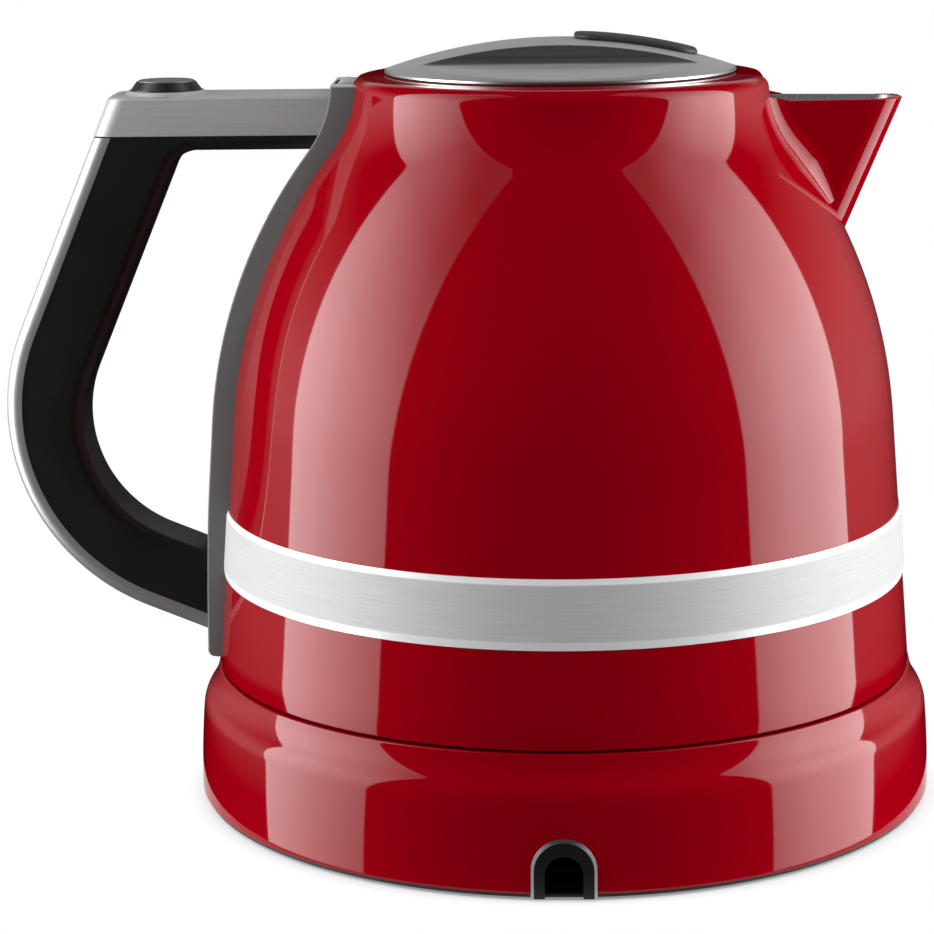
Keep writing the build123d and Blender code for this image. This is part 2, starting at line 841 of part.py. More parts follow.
with BuildPart() as whole_vessel:
    add(solid_body(vessel_inset, vessel_floor_z, vessel_top_z))
    add(
        solid_body(vessel_inset + vessel_wall, vessel_floor_z + vessel_floor, vessel_top_z + past),
        mode=Mode.SUBTRACT,
    )
    add(spout_prism(spout_wall + seat_gap + liner_wall, spout_rim_z), mode=Mode.SUBTRACT)
    add(rod_passage(2 * moving_gap, far_left, 0), mode=Mode.SUBTRACT)
    add(hinge_slot(slot_half_y), mode=Mode.SUBTRACT)
vessel_wall_z = vessel_floor_z + vessel_floor + seat_gap
write(slice_of(whole_vessel.part, 0, vessel_floor_z + vessel_floor), "vessel_floor")
write(slice_of(whole_vessel.part, vessel_wall_z, dome_start_z), "inner_vessel")
write(slice_of(whole_vessel.part, dome_start_z + seat_gap, lid_crown_z), "vessel_dome")

with BuildPart() as band:
    with BuildSketch(Plane.XZ):
        with BuildLine():
            Polyline(
                (wall_radius(band_bottom_z, -seat_gap), band_bottom_z),
                (wall_radius(band_bottom_z, -band_proud + band_bevel), band_bottom_z),
                (wall_radius(band_bottom_z + band_bevel, -band_proud), band_bottom_z + band_bevel),
                (wall_radius(band_top_z - band_bevel, -band_proud), band_top_z - band_bevel),
                (wall_radius(band_top_z, -band_proud + band_bevel), band_top_z),
                (wall_radius(band_top_z, -seat_gap), band_top_z),
                close=True,
            )
        make_face()
    revolve(axis=Axis.Z)
    with BuildSketch(Plane.XY.offset(band_bottom_z)):
        with Locations((-base_r, 0)):
            Rectangle(base_r, 2 * (spine_half + seat_gap))
    extrude(amount=band_top_z - band_bottom_z, mode=Mode.SUBTRACT)
write(band.part, "band")


# Handle

def spine_prism(extra):
    """A prism behind the body that follows its side, as thick as the spine plus extra."""
    with BuildPart() as prism:
        with BuildSketch(Plane.XZ):
            with BuildLine():
                foot, neck = body_side(-spine_proud - extra, spine_bottom_z)
                Polyline(neck, (neck[0], spine_top_z), (0, spine_top_z), (0, spine_bottom_z), foot)
            make_face()
            mirror(about=Plane.YZ, mode=Mode.REPLACE)
        extrude(amount=spine_half + extra, both=True)
    return prism.part


with BuildPart() as spine_cover:
    add(spine_prism(0.0))
    fillet(spine_cover.edges().filter_by(Axis.Y).group_by(Axis.Z)[0].sort_by(Axis.X)[0], spine_foot_round)
    outer_edges = spine_cover.edges().filter_by(lambda edge: edge.center().X < -neck_r)
    fillet(outer_edges.filter_by(lambda edge: abs(edge.center().Y) > spine_half / 2), spine_round)
    add(solid_body(0.0, spine_bottom_z - past, spine_top_z + past), mode=Mode.SUBTRACT)
    add(rod_passage(2 * moving_gap, far_left, 0), mode=Mode.SUBTRACT)
    add(x_cylinders(handle_screw_r + seat_gap, far_left, 0), mode=Mode.SUBTRACT)
    add(hinge_slot(slot_half_y + hinge_spring_length), mode=Mode.SUBTRACT)
    add(y_cylinder(pin_r + seat_gap, -pin_half - seat_gap, pin_half + seat_gap), mode=Mode.SUBTRACT)
write(spine_cover.part, "spine_cover")

def handle_line(inset, top_z):
    """Adds the handle's outer line, moved inwards, and returns its top and foot points."""
    radius = handle_bend_r - inset
    start = on_circle(bend_centre, radius, bend_in)
    middle = on_circle(bend_centre, radius, bend_mid)
    end = on_circle(bend_centre, radius, bend_out)
    top = (start[0] + (top_z - start[1]) * lean_step, top_z)
    foot = (handle_foot_x, end[1] - (handle_foot_x - end[0]) * foot_step)
    Line(top, start)
    ThreePointArc(start, middle, end)
    Line(end, foot)
    return top, foot


rail_bottom_z = arm_bottom_z - rail_thickness
with BuildPart() as handle_grip:
    with BuildSketch(Plane.XZ):
        with BuildLine():
            out_top, out_foot = handle_line(strap_thickness + seat_gap, arm_bottom_z - seat_gap)
            in_top, in_foot = handle_line(handle_thickness, rail_bottom_z)
            Polyline(out_top, (-neck_r, arm_bottom_z - seat_gap), (-neck_r, rail_bottom_z), in_top)
            Line(out_foot, in_foot)
        make_face()
    extrude(amount=arm_half, both=True)
    corner = handle_grip.edges().filter_by(Axis.Y).sort_by_distance((in_top[0], 0, in_top[1]))[0]
    fillet(corner, window_round)
    side_edges = handle_grip.edges().filter_by(lambda edge: abs(edge.center().Y) > arm_half - seat_gap)
    fillet(side_edges.sort_by_distance((bend_centre[0], 0, bend_centre[1]))[:6], grip_round)
    add(spine_prism(seat_gap), mode=Mode.SUBTRACT)
    add(x_cylinders(handle_screw_r, far_left, 0), mode=Mode.SUBTRACT)
write(handle_grip.part, "handle_grip")

with BuildPart() as handle_strap:
    with BuildSketch(Plane.XZ):
        with BuildLine():
            out_top, out_foot = handle_line(0.0, arm_bottom_z - seat_gap)
            in_top, in_foot = handle_line(strap_thickness, arm_bottom_z - seat_gap)
            Line(out_top, in_top)
            Line(out_foot, in_foot)
        make_face()
    extrude(amount=arm_half, both=True)
    add(spine_prism(seat_gap), mode=Mode.SUBTRACT)
write(handle_strap.part, "handle_strap")

with BuildPart() as handle_arm:
    with BuildSketch(Plane.XZ):
        with BuildLine():
            Polyline(
                (arm_end_bottom_x, arm_bottom_z),
                (arm_end_top_x, arm_top_z),
                (-neck_r, arm_top_z),
                (-neck_r, arm_bottom_z),
                close=True,
            )
        make_face()
    extrude(amount=arm_half, both=True)
    end_edge = handle_arm.edges().filter_by(Axis.Y).sort_by_distance((arm_end_top_x, 0, arm_top_z))[0]
    fillet(end_edge, arm_end_round)
    fillet(handle_arm.faces().sort_by(Axis.Z)[-1].edges().filter_by(Axis.X), arm_round)
    with BuildSketch(Plane.XY.offset(pocket_floor_z)):
        with Locations((button_x, 0)):
            Circle(button_skirt_r + moving_gap)
    extrude(amount=arm_top_z, mode=Mode.SUBTRACT)
    channel_x = button_x - rod_tail - button_travel - 2 * moving_gap
    with BuildSketch(Plane.XY.offset(arm_bottom_z)):
        with Locations((channel_x / 2, 0)):
            Rectangle(-channel_x, 2 * (rod_half + 2 * moving_gap))
    extrude(amount=rod_top_z + 3 * moving_gap - arm_bottom_z, mode=Mode.SUBTRACT)
    add(spine_prism(seat_gap), mode=Mode.SUBTRACT)
write(handle_arm.part, "handle_arm")

screw_tip_x = -body_radius(handle_screw_z) - spine_proud - handle_screw_length / 2
screw_head_x = -body_radius(handle_screw_z, shell_wall) + handle_head_gap
with BuildPart() as handle_screws:
    add(x_cylinders(handle_screw_r - seat_gap, screw_tip_x, screw_head_x + handle_head_height))
    add(x_cylinders(handle_head_r, screw_head_x, screw_head_x + handle_head_height))
write(handle_screws.part, "handle_screws")


# Lid button and release rod

def button_ring(inner, outer, bottom_z, top_z):
    """A ring about the button's own axis, or a disc where inner is zero."""
    with BuildPart() as body:
        with BuildSketch(Plane.XY.offset(bottom_z)):
            with Locations((button_x, 0)):
                Circle(outer)
                if inner > 0:
                    Circle(inner, mode=Mode.SUBTRACT)
        extrude(amount=top_z - bottom_z)
    return body.part


with BuildPart() as button_bezel:
    bore = button_skirt_r + moving_gap
    add(button_ring(bore, bore + bezel_width, arm_top_z, arm_top_z + bezel_height))
    chamfer(button_bezel.edges().group_by(Axis.Z)[-1].sort_by(SortBy.LENGTH)[-1:], bezel_height / 2)
write(button_bezel.part, "button_bezel")

skirt_bottom_z = pocket_floor_z + button_travel + moving_gap
with BuildPart() as button_stem:
    with BuildSketch(Plane.XZ):
        with BuildLine():
            Polyline(
                (button_x, skirt_bottom_z),
                (button_x + button_skirt_r, skirt_bottom_z),
                (button_x + button_skirt_r, button_skirt_top_z),
                (button_x + button_top_r, button_cap_z),
                (button_x, button_cap_z),
                close=True,
            )
        make_face()
    revolve(axis=Axis((button_x, 0, 0), (0, 0, 1)))
    with BuildSketch(Plane.XZ):
        with BuildLine():
            reach = skirt_bottom_z - wedge_tip_z
            Polyline(
                (button_x + wedge_width, skirt_bottom_z),
                (button_x + wedge_width, wedge_tip_z),
                (button_x + wedge_width - wedge_flat, wedge_tip_z),
                (button_x + wedge_width - wedge_flat - reach, skirt_bottom_z),
                close=True,
            )
        make_face()
    extrude(amount=wedge_half, both=True)
write(button_stem.part, "button_stem")

with BuildPart() as button_cap:
    add(button_ring(0, button_top_r, button_cap_z, button_cap_z + button_cap_height))
    fillet(button_cap.edges().group_by(Axis.Z)[-1], button_cap_height / 2)
write(button_cap.part, "button_cap")

with BuildPart() as button_spring:
    add(button_ring(spring_r - spring_wall, spring_r, pocket_floor_z, skirt_bottom_z - moving_gap))
write(button_spring.part, "button_spring")

rod_nose_x = -plug_side_r - 2 * moving_gap
with BuildPart() as release_rod:
    add(rod_passage(0.0, button_x - rod_tail, rod_nose_x))
    with BuildSketch(Plane.XZ):
        with BuildLine():
            slope_gap = moving_gap * sqrt(2)
            face_x = button_x + wedge_width - wedge_flat - slope_gap
            Polyline(
                (face_x - (rod_top_z + edge_break - wedge_tip_z), rod_top_z + edge_break),
                (face_x - (rod_bottom_z - edge_break - wedge_tip_z), rod_bottom_z - edge_break),
                (button_x + wedge_width + button_travel + 2 * moving_gap, rod_bottom_z - edge_break),
                (button_x + wedge_width + button_travel + 2 * moving_gap, rod_top_z + edge_break),
                close=True,
            )
        make_face()
    extrude(amount=wedge_half + moving_gap, both=True, mode=Mode.SUBTRACT)
write(release_rod.part, "release_rod")


# Lid and its hinge

dome_rise = lid_crown_z - lid_rim_z - lid_edge
lid_dome_r = (lid_r**2 + dome_rise**2) / (2 * dome_rise)


def lid_dome(drop, bottom_z):
    """The lid's dome without its scoops, lowered and narrowed by drop."""
    centre_z = lid_crown_z - lid_dome_r
    rim = lid_r - drop
    middle = rim / 2
    radius = lid_dome_r - drop
    with BuildPart() as dome:
        with BuildSketch(Plane.XZ):
            with BuildLine():
                crown = (0, centre_z + radius)
                edge = (rim, centre_z + sqrt(radius**2 - rim**2))
                ThreePointArc(crown, (middle, centre_z + sqrt(radius**2 - middle**2)), edge)
                Polyline(edge, (rim, bottom_z), (0, bottom_z), crown)
            make_face()
        revolve(axis=Axis.Z)
    return dome.part


def lid_form(drop, bottom_z):
    """The lid's dome with a scoop on either side of its ridge."""
    ridge = ridge_half - drop
    slope = sin(radians(scoop_slope)) / cos(radians(scoop_slope))
    top_z = lid_crown_z + 2 * past

    def floor_z(y):
        return scoop_edge_z - drop + (scoop_edge_y - y) * slope

    with BuildPart() as form:
        add(lid_dome(drop, bottom_z))
        with BuildSketch(Plane.YZ):
            with BuildLine():
                corner = (ridge, floor_z(ridge))
                outside = (2 * lid_r, floor_z(2 * lid_r))
                FilletPolyline((ridge, top_z), corner, outside, radius=scoop_round)
                Polyline(outside, (2 * lid_r, top_z), (ridge, top_z))
            make_face()
            mirror(about=Plane.YZ)
        extrude(amount=2 * lid_r, both=True, mode=Mode.SUBTRACT)
    return form.part


with BuildPart() as lid_cap:
    add(lid_form(0.0, lid_rim_z))
    add(lid_form(lid_wall, lid_rim_z - past), mode=Mode.SUBTRACT)
write(lid_cap.part, "lid_cap")

with BuildPart() as lid_press_pad:
    with BuildSketch(Plane.XY.offset(lid_rim_z)):
        with Locations(((pad_start_x + pad_end_x) / 2, 0)):
            RectangleRounded(pad_end_x - pad_start_x, 2 * pad_half, pad_half - pad_proud / 2)
    extrude(amount=lid_crown_z - lid_rim_z + 2 * past)
    add(lid_dome(-pad_proud, lid_rim_z), mode=Mode.INTERSECT)
    add(lid_dome(0.0, lid_rim_z - past), mode=Mode.SUBTRACT)
    chamfer(lid_press_pad.faces().sort_by(Axis.Z)[-1].edges(), pad_proud / 3)
write(lid_press_pad.part, "lid_press_pad")

plug_top_level = lid_rim_z - seat_gap
with BuildPart() as lid_liner:
    add(ring(0, plug_side_r, plug_floor_z, plug_floor_z + plug_wall))
    add(ring(plug_side_r - plug_wall, plug_side_r, plug_floor_z, plug_top_level))
    fillet(lid_liner.edges().group_by(Axis.Z)[0], plug_wall / 2)
write(lid_liner.part, "lid_liner")

with BuildPart() as lid_seal:
    seal_r = plug_side_r + seat_gap
    add(ring(seal_r, seal_r + seal_width, plug_top_level - seal_height, plug_top_level))
write(lid_seal.part, "lid_seal")

with BuildPart() as lid_hinge_arm:
    with BuildSketch(Plane.XZ):
        with BuildLine():
            low_z = hinge_z - lid_arm_half_height
            high_z = hinge_z + lid_arm_half_height
            Polyline((hinge_x, low_z), (0, low_z), (0, high_z), (hinge_x, high_z), close=True)
        make_face()
    extrude(amount=knuckle_half, both=True)
    add(y_cylinder(knuckle_r, -knuckle_half, knuckle_half))
    add(y_cylinder(pin_r + pin_gap, -pin_half, pin_half), mode=Mode.SUBTRACT)
    with BuildSketch(Plane.XY.offset(plug_floor_z)):
        Circle(plug_side_r + seat_gap)
    extrude(amount=lid_crown_z - plug_floor_z, mode=Mode.SUBTRACT)
write(lid_hinge_arm.part, "lid_hinge_arm")

write(y_cylinder(pin_r, -pin_half, pin_half), "hinge_pin")

with BuildPart() as lid_spring:
    spring_start = knuckle_half + moving_gap
    for side in (-1, 1):
        ends = sorted((side * spring_start, side * (spring_start + hinge_spring_length)))
        add(y_cylinder(hinge_spring_r, ends[0], ends[1]))
    add(y_cylinder(pin_r + seat_gap, -pin_half, pin_half), mode=Mode.SUBTRACT)
write(lid_spring.part, "lid_spring")


# Limescale filter, seated on the vessel's wall behind the spout

inner_skin = vessel_inset + vessel_wall


def filter_edge(z):
    """Where the filter's long edges meet the vessel's wall at a height."""
    return Vector(sqrt(body_radius(z, inner_skin) ** 2 - filter_half**2), 0, z)


filter_upper = filter_edge(filter_top_z)
filter_lower = filter_edge(filter_top_z - filter_height)
down_slope = filter_lower - filter_upper
filter_length = down_slope.length
inwards = Vector(down_slope.Z, 0, -down_slope.X).normalized()
filter_seat = (filter_upper + filter_lower) / 2 + inwards * moving_gap
filter_plane = Plane(filter_seat, x_dir=down_slope, z_dir=inwards)

with BuildPart() as filter_frame:
    with BuildSketch(filter_plane):
        RectangleRounded(filter_length, 2 * filter_half, filter_border / 2)
        Rectangle(filter_length - 2 * filter_border, 2 * (filter_half - filter_border), mode=Mode.SUBTRACT)
    extrude(amount=filter_thickness)
write(filter_frame.part, "filter_frame")

mesh_length = filter_length - 2 * (filter_border + seat_gap)
mesh_width = 2 * (filter_half - filter_border - seat_gap)
with BuildPart() as filter_mesh:
    with BuildSketch(filter_plane.offset((filter_thickness - mesh_thickness) / 2)):
        Rectangle(mesh_length, mesh_width)
        columns = int((mesh_length - mesh_pitch / 2) / mesh_pitch)
        rows = int((mesh_width - mesh_pitch / 2) / mesh_pitch)
        with GridLocations(mesh_pitch, mesh_pitch, columns, rows):
            Rectangle(mesh_hole, mesh_hole, mode=Mode.SUBTRACT)
    extrude(amount=mesh_thickness)
write(filter_mesh.part, "filter_mesh")
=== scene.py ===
"""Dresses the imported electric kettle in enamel, brushed steel and plastic, on a pale stage."""

from math import acos, asin, atan2, cos, degrees, hypot, radians, sin, sqrt, tan

import bmesh
import bpy
from bmesh.types import BMEdge, BMVert
from bpy.props import FloatProperty, FloatVectorProperty, IntProperty, PointerProperty
from mathutils import Matrix, Quaternion, Vector


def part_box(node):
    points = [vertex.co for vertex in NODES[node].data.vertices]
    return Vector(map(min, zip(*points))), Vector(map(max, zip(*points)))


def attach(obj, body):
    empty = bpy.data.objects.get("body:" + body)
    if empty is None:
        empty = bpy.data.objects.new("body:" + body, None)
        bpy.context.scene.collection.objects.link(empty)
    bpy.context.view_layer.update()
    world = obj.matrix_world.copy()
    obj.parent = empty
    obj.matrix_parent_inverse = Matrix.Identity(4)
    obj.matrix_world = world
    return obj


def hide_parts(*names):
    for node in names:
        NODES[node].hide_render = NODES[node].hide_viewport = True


bl_info = {
    "name": "Electric kettle",
    "version": (1, 0, 0),
    "blender": (4, 5, 0),
    "location": "View3D > Sidebar > Kettle",
    "description": "Builds the kettle's dressed pieces, finishes and stage round the packed model",
    "category": "Object",
}

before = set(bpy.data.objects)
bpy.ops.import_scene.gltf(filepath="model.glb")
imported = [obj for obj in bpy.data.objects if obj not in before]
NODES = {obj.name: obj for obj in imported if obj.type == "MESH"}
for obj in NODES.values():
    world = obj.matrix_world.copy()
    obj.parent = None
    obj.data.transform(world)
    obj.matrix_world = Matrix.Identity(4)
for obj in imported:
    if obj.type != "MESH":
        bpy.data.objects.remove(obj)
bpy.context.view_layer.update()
MM = 0.001


def both_ways(operation):
    """An operator's two methods, with the socket on its left or on its right, as Math nodes."""
    def left(self, other):
        return self.math(operation, self, other)

    def right(self, other):
        return self.math(operation, other, self)

    return left, right


class Sock:
    """A shader socket that takes part in Python expressions, adding Math nodes as it goes."""

    def __init__(self, paint, socket):
        self.paint = paint
        self.socket = socket

    def math(self, operation, *values):
        return self.paint.node("ShaderNodeMath", {"operation": operation}, values)

    __add__, __radd__ = both_ways("ADD")
    __sub__, __rsub__ = both_ways("SUBTRACT")
    __mul__, __rmul__ = both_ways("MULTIPLY")
    __truediv__, __rtruediv__ = both_ways("DIVIDE")
    __pow__, __rpow__ = both_ways("POWER")

    def clamp(self):
        return self.paint.node("ShaderNodeClamp", {}, {"Value": self})


class Paint:
    """A material, or the world, whose nodes are added by one method and joined by expressions."""

    def __init__(self, owner):
        owner.use_nodes = True
        self.owner = owner
        self.tree = owner.node_tree
        self.tree.nodes.clear()

    def node(self, kind, settings=None, values=None, output=0):
        made = self.tree.nodes.new(kind)
        for name, value in (settings or {}).items():
            if name == "stops":
                ramp = made.color_ramp
                while len(ramp.elements) < len(value):
                    ramp.elements.new(1.0)
                for element, (position, colour) in zip(ramp.elements, value):
                    element.position = position
                    element.color = colour
            else:
                setattr(made, name, value)
        pairs = enumerate(values) if isinstance(values, (list, tuple)) else (values or {}).items()
        for key, value in pairs:
            if isinstance(value, Sock):
                self.tree.links.new(value.socket, made.inputs[key])
            else:
                made.inputs[key].default_value = value
        return Sock(self, made.outputs[output])

    def object_place(self):
        return self.node("ShaderNodeTexCoord", output="Object")

    def parts_of(self, vector):
        made = self.node("ShaderNodeSeparateXYZ", {}, [vector]).socket.node
        return [Sock(self, socket) for socket in made.outputs]

    def vector(self, x, y, z):
        return self.node("ShaderNodeCombineXYZ", {}, [x, y, z])

    def noise(self, vector, scale, detail=2.0, roughness=0.5):
        return self.node(
            "ShaderNodeTexNoise",
            {},
            {"Vector": vector, "Scale": scale, "Detail": detail, "Roughness": roughness},
        )

    def ramp(self, value, *stops):
        return self.node("ShaderNodeValToRGB", {"stops": stops}, [value])

    def mix(self, factor, low, high):
        return self.node("ShaderNodeMix", {"data_type": "RGBA"}, {0: factor, 6: low, 7: high}, output=2)

    def bump(self, height, strength, distance):
        return self.node(
            "ShaderNodeBump", {}, {"Strength": strength, "Distance": distance, "Height": height}
        )

    def surface(self, shader, output="ShaderNodeOutputMaterial"):
        made = self.tree.nodes.new(output)
        self.tree.links.new(shader.socket, made.inputs["Surface"])


def new_paint(name):
    return Paint(bpy.data.materials.new(name))


def principled(paint, **values):
    """Gives a material its main shader, with plain words for the sockets, and gives the material back."""
    names = {
        "colour": "Base Color",
        "metal": "Metallic",
        "rough": "Roughness",
        "normal": "Normal",
        "specular": "Specular IOR Level",
    }
    paint.surface(
        paint.node("ShaderNodeBsdfPrincipled", {}, {names[key]: value for key, value in values.items()})
    )
    return paint.owner


def grey(level):
    return (level, level, level, 1.0)


def scaled(colour, factor):
    return tuple(factor * part for part in colour[:3]) + (1.0,)


def linear(red, green, blue):
    """A colour as seen on a screen, in the linear values that shaders take."""
    def one(value):
        value /= 255.0
        return value / 12.92 if value <= 0.04045 else ((value + 0.055) / 1.055) ** 2.4

    return (one(red), one(green), one(blue), 1.0)


# Finishes. The brush's noise has these scales across its lines, along them and round the kettle's axis.

BRUSH_ACROSS = 2600.0
BRUSH_ALONG = 30.0
BRUSH_ROUND = 5.0
HINGE_GREY = 0.42


def enamel(name, deep, bright):
    """Glossy fired enamel: a faint cloudiness under a clear, very slightly rippled glaze."""
    p = new_paint(name)
    place = p.object_place()
    cloud = p.noise(place, 14.0)
    ripple = p.noise(place, 120.0, detail=1.0)
    return principled(
        p,
        colour=p.mix(cloud, deep, bright),
        rough=0.03 + 0.03 * cloud,
        specular=0.33,
        normal=p.bump(ripple, 0.02, 0.0003),
    )


def along(axis):
    """The brush's way along x, y or z."""
    def way(p, place):
        parts = zip("xyz", p.parts_of(place))
        return p.vector(*(part * (BRUSH_ALONG if name == axis else BRUSH_ACROSS) for name, part in parts))

    return way


def round_z(p, place):
    """The brush's way round the kettle's axis."""
    x, y, z = p.parts_of(place)
    angle = p.node("ShaderNodeMath", {"operation": "ARCTAN2"}, [y, x])
    return p.vector(angle * BRUSH_ROUND, z * BRUSH_ACROSS, 0.0)


def brush_lines(p, place, way):
    return p.noise(way(p, place), 1.0, detail=3.0, roughness=0.6)


def brush_colour(p, lines, level, low, high):
    """A grey that is low to high times its level from one brush line to the next."""
    return p.mix((lines * 1.6 - 0.3).clamp(), grey(level * low), grey(level * high))


def brushed(name, level, way, rough=0.42, metal=0.5):
    """Brushed steel. way turns a place on the piece into the coordinates that the brush lines follow."""
    p = new_paint(name)
    place = p.object_place()
    lines = brush_lines(p, place, way)
    cloud = p.noise(place, 45.0)
    return principled(
        p,
        colour=brush_colour(p, lines, level, 0.9, 1.1),
        metal=metal,
        rough=rough - 0.06 + 0.14 * lines + 0.04 * cloud,
        normal=p.bump(lines, 0.10, 0.00005),
    )


def satin(name, level, rough=0.38, metal=0.6, cap=None):
    """Satin painted metal with a fine sparkle in it, and from the height of its cap on in the hinge's grey."""
    p = new_paint(name)
    place = p.object_place()
    speck = p.noise(place, 2400.0, detail=1.0)
    cloud = p.noise(place, 30.0)
    colour = p.mix(speck, grey(level * 0.86), grey(level * 1.14))
    if cap:
        z = p.parts_of(place)[2]
        colour = p.mix(((z - cap * MM) / (0.3 * MM)).clamp(), colour, grey(HINGE_GREY))
    return principled(
        p,
        colour=colour,
        metal=metal,
        rough=rough + 0.08 * cloud + 0.06 * speck,
        normal=p.bump(speck, 0.05, 0.00005),
    )


def moulded(name, level, rough=0.45, grain=1300.0, tint=(1.0, 1.0, 1.0)):
    """Moulded plastic or rubber with a fine spark-eroded grain and slight wear clouds."""
    p = new_paint(name)
    place = p.object_place()
    skin = p.noise(place, grain, detail=2.0)
    cloud = p.noise(place, 35.0, detail=3.0)
    return principled(
        p,
        colour=p.mix(cloud, scaled(tint, level * 0.8), scaled(tint, level * 1.2)),
        rough=rough - 0.06 + 0.12 * cloud + 0.05 * skin,
        normal=p.bump(skin, 0.25, 0.00006),
    )


def polished(name, colour, rough=0.08):
    """Polished metal with faint hairline marks."""
    p = new_paint(name)
    place = p.object_place()
    x, y, z = p.parts_of(place)
    marks = p.noise(p.vector(x * 300.0, y * 2200.0, z * 300.0), 1.0, detail=3.0)
    cloud = p.noise(place, 60.0)
    return principled(
        p,
        colour=p.mix(cloud, scaled(colour, 0.92), colour),
        metal=1.0,
        rough=rough + 0.05 * marks,
        normal=p.bump(marks, 0.03, 0.00004),
    )


# Mesh helpers

def only(kind, parts):
    """The vertices or edges among the parts that an operator gives back."""
    return [part for part in parts if isinstance(part, kind)]


def run_on(bm, tip, end, steps=1):
    """Draws a straight run from a vertex to a point, in equal steps, and gives its last vertex."""
    start = tip.co.copy()
    for step in range(1, steps + 1):
        tip = bmesh.ops.extrude_vert_indiv(bm, verts=[tip])["verts"][0]
        tip.co = start.lerp(end, step / steps)
    return tip


def swing(bm, tip, centre, axis, angle, steps):
    """Draws an arc from a vertex about an axis through a point, and gives its last vertex."""
    made = bmesh.ops.spin(bm, geom=[tip], cent=centre, axis=axis, angle=angle, steps=steps)
    return only(BMVert, made["geom_last"])[0]


class Line:
    """A line of vertices in the XZ plane, drawn in millimetres, that is later spun or pulled into a piece."""

    def __init__(self, x, z):
        self.bm = bmesh.new()
        self.first = self.tip = bmesh.ops.create_vert(self.bm, co=(x * MM, 0.0, z * MM))["vert"][0]

    def to(self, x, z, steps=1):
        """A straight run to a point, in equal steps."""
        self.tip = run_on(self.bm, self.tip, Vector((x * MM, 0.0, z * MM)), steps)
        return self

    def arc(self, x, z, angle, steps):
        """An arc about a point by an angle in degrees, counted from +X towards +Z."""
        centre = (x * MM, 0.0, z * MM)
        self.tip = swing(self.bm, self.tip, centre, (0.0, -1.0, 0.0), radians(angle), steps)
        return self

    def close(self):
        """Joins the line's ends, and gives its mesh."""
        self.bm.edges.new((self.tip, self.first))
        bmesh.ops.remove_doubles(self.bm, verts=self.bm.verts, dist=1e-6)
        return self.bm


def turned(bm, segments, sweep=360.0, start=0.0):
    """Spins everything drawn so far about the kettle's axis."""
    bmesh.ops.rotate(bm, verts=bm.verts, cent=(0, 0, 0), matrix=Matrix.Rotation(radians(start), 3, "Z"))
    bmesh.ops.spin(
        bm,
        geom=bm.verts[:] + bm.edges[:],
        cent=(0.0, 0.0, 0.0),
        axis=(0.0, 0.0, 1.0),
        angle=radians(sweep),
        steps=segments,
        use_merge=sweep == 360.0,
    )
    bmesh.ops.remove_doubles(bm, verts=bm.verts, dist=1e-6)
    bmesh.ops.recalc_face_normals(bm, faces=bm.faces)


def filled(bm, way):
    """Fills the drawn outline and pulls it along a way into a closed solid."""
    faces = bmesh.ops.contextual_create(bm, geom=bm.edges[:])["faces"]
    made = bmesh.ops.extrude_face_region(bm, geom=faces)["geom"]
    bmesh.ops.translate(bm, verts=only(BMVert, made), vec=way)
    bmesh.ops.recalc_face_normals(bm, faces=bm.faces)


def pulled(bm, half, middle=0.0):
    """Fills the drawn outline and pulls it both ways along Y from a middle."""
    bmesh.ops.translate(bm, verts=bm.verts, vec=(0.0, (middle - half) * MM, 0.0))
    filled(bm, (0.0, 2 * half * MM, 0.0))


def cylinder(radius, depth, segments, place):
    """A closed cylinder along its own Z, in millimetres, moved to its place."""
    bm = bmesh.new()
    bmesh.ops.create_cone(
        bm,
        cap_ends=True,
        segments=segments,
        radius1=radius * MM,
        radius2=radius * MM,
        depth=depth * MM,
        matrix=place,
    )
    return bm


def edges_at(bm, test):
    """The edges where a test holds at both ends."""
    return [edge for edge in bm.edges if all(test(vert.co) for vert in edge.verts)]


def is_corner(edge):
    return edge.calc_face_angle(0.0) > 1.0


def side_corners(bm, test):
    """The sharp edges along a pulled piece's two flat sides, where a test holds at both ends."""
    return [
        edge for edge in edges_at(bm, test)
        if is_corner(edge) and len({round(vert.co.y, 6) for vert in edge.verts}) == 1
    ]


def rounded(bm, edges, width, segments=3):
    """Rounds edges by a width in millimetres."""
    bmesh.ops.bevel(
        bm,
        geom=list(edges),
        offset=width * MM,
        affect="EDGES",
        segments=segments,
        profile=0.5,
        material=-1,
        clamp_overlap=True,
    )


def smooth(mesh, sharp=35.0):
    """Shades a mesh smooth, apart from edges that turn by more than an angle in degrees."""
    mesh.shade_smooth()
    mesh.set_sharp_from_angle(angle=radians(sharp))


def as_object(name, bm, sharp=35.0):
    mesh = bpy.data.meshes.new(name)
    bm.to_mesh(mesh)
    bm.free()
    made = bpy.data.objects.new(name, mesh)
    bpy.context.scene.collection.objects.link(made)
    smooth(mesh, sharp)
    return made


def fitted(made, material, body, slot, *nodes):
    """Gives a finished piece its finish, the body it rides on and the nodes it stands for."""
    made.data.materials.append(material)
    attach(made, body)
    if nodes:
        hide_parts(*nodes)


def cut_by(made, cutters):
    """Cuts holes in a piece with closed shapes, which are then removed."""
    for cutter in cutters:
        modifier = made.modifiers.new("cut", "BOOLEAN")
        modifier.operation = "DIFFERENCE"
        modifier.solver = "EXACT"
        modifier.object = cutter
    bpy.context.view_layer.update()
    graph = bpy.context.evaluated_depsgraph_get()
    mesh = bpy.data.meshes.new_from_object(made.evaluated_get(graph))
    made.modifiers.clear()
    old, made.data = made.data, mesh
    mesh.name = made.name
    bpy.data.meshes.remove(old)
    for cutter in cutters:
        bpy.data.objects.remove(cutter)
    smooth(mesh)


def dress(material, *nodes):
    """Gives CAD nodes that keep their own shape a finish."""
    for node in nodes:
        NODES[node].data.materials.clear()
        NODES[node].data.materials.append(material)


# Shapes that several pieces share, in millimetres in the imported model's frame. A place is its x and its height.

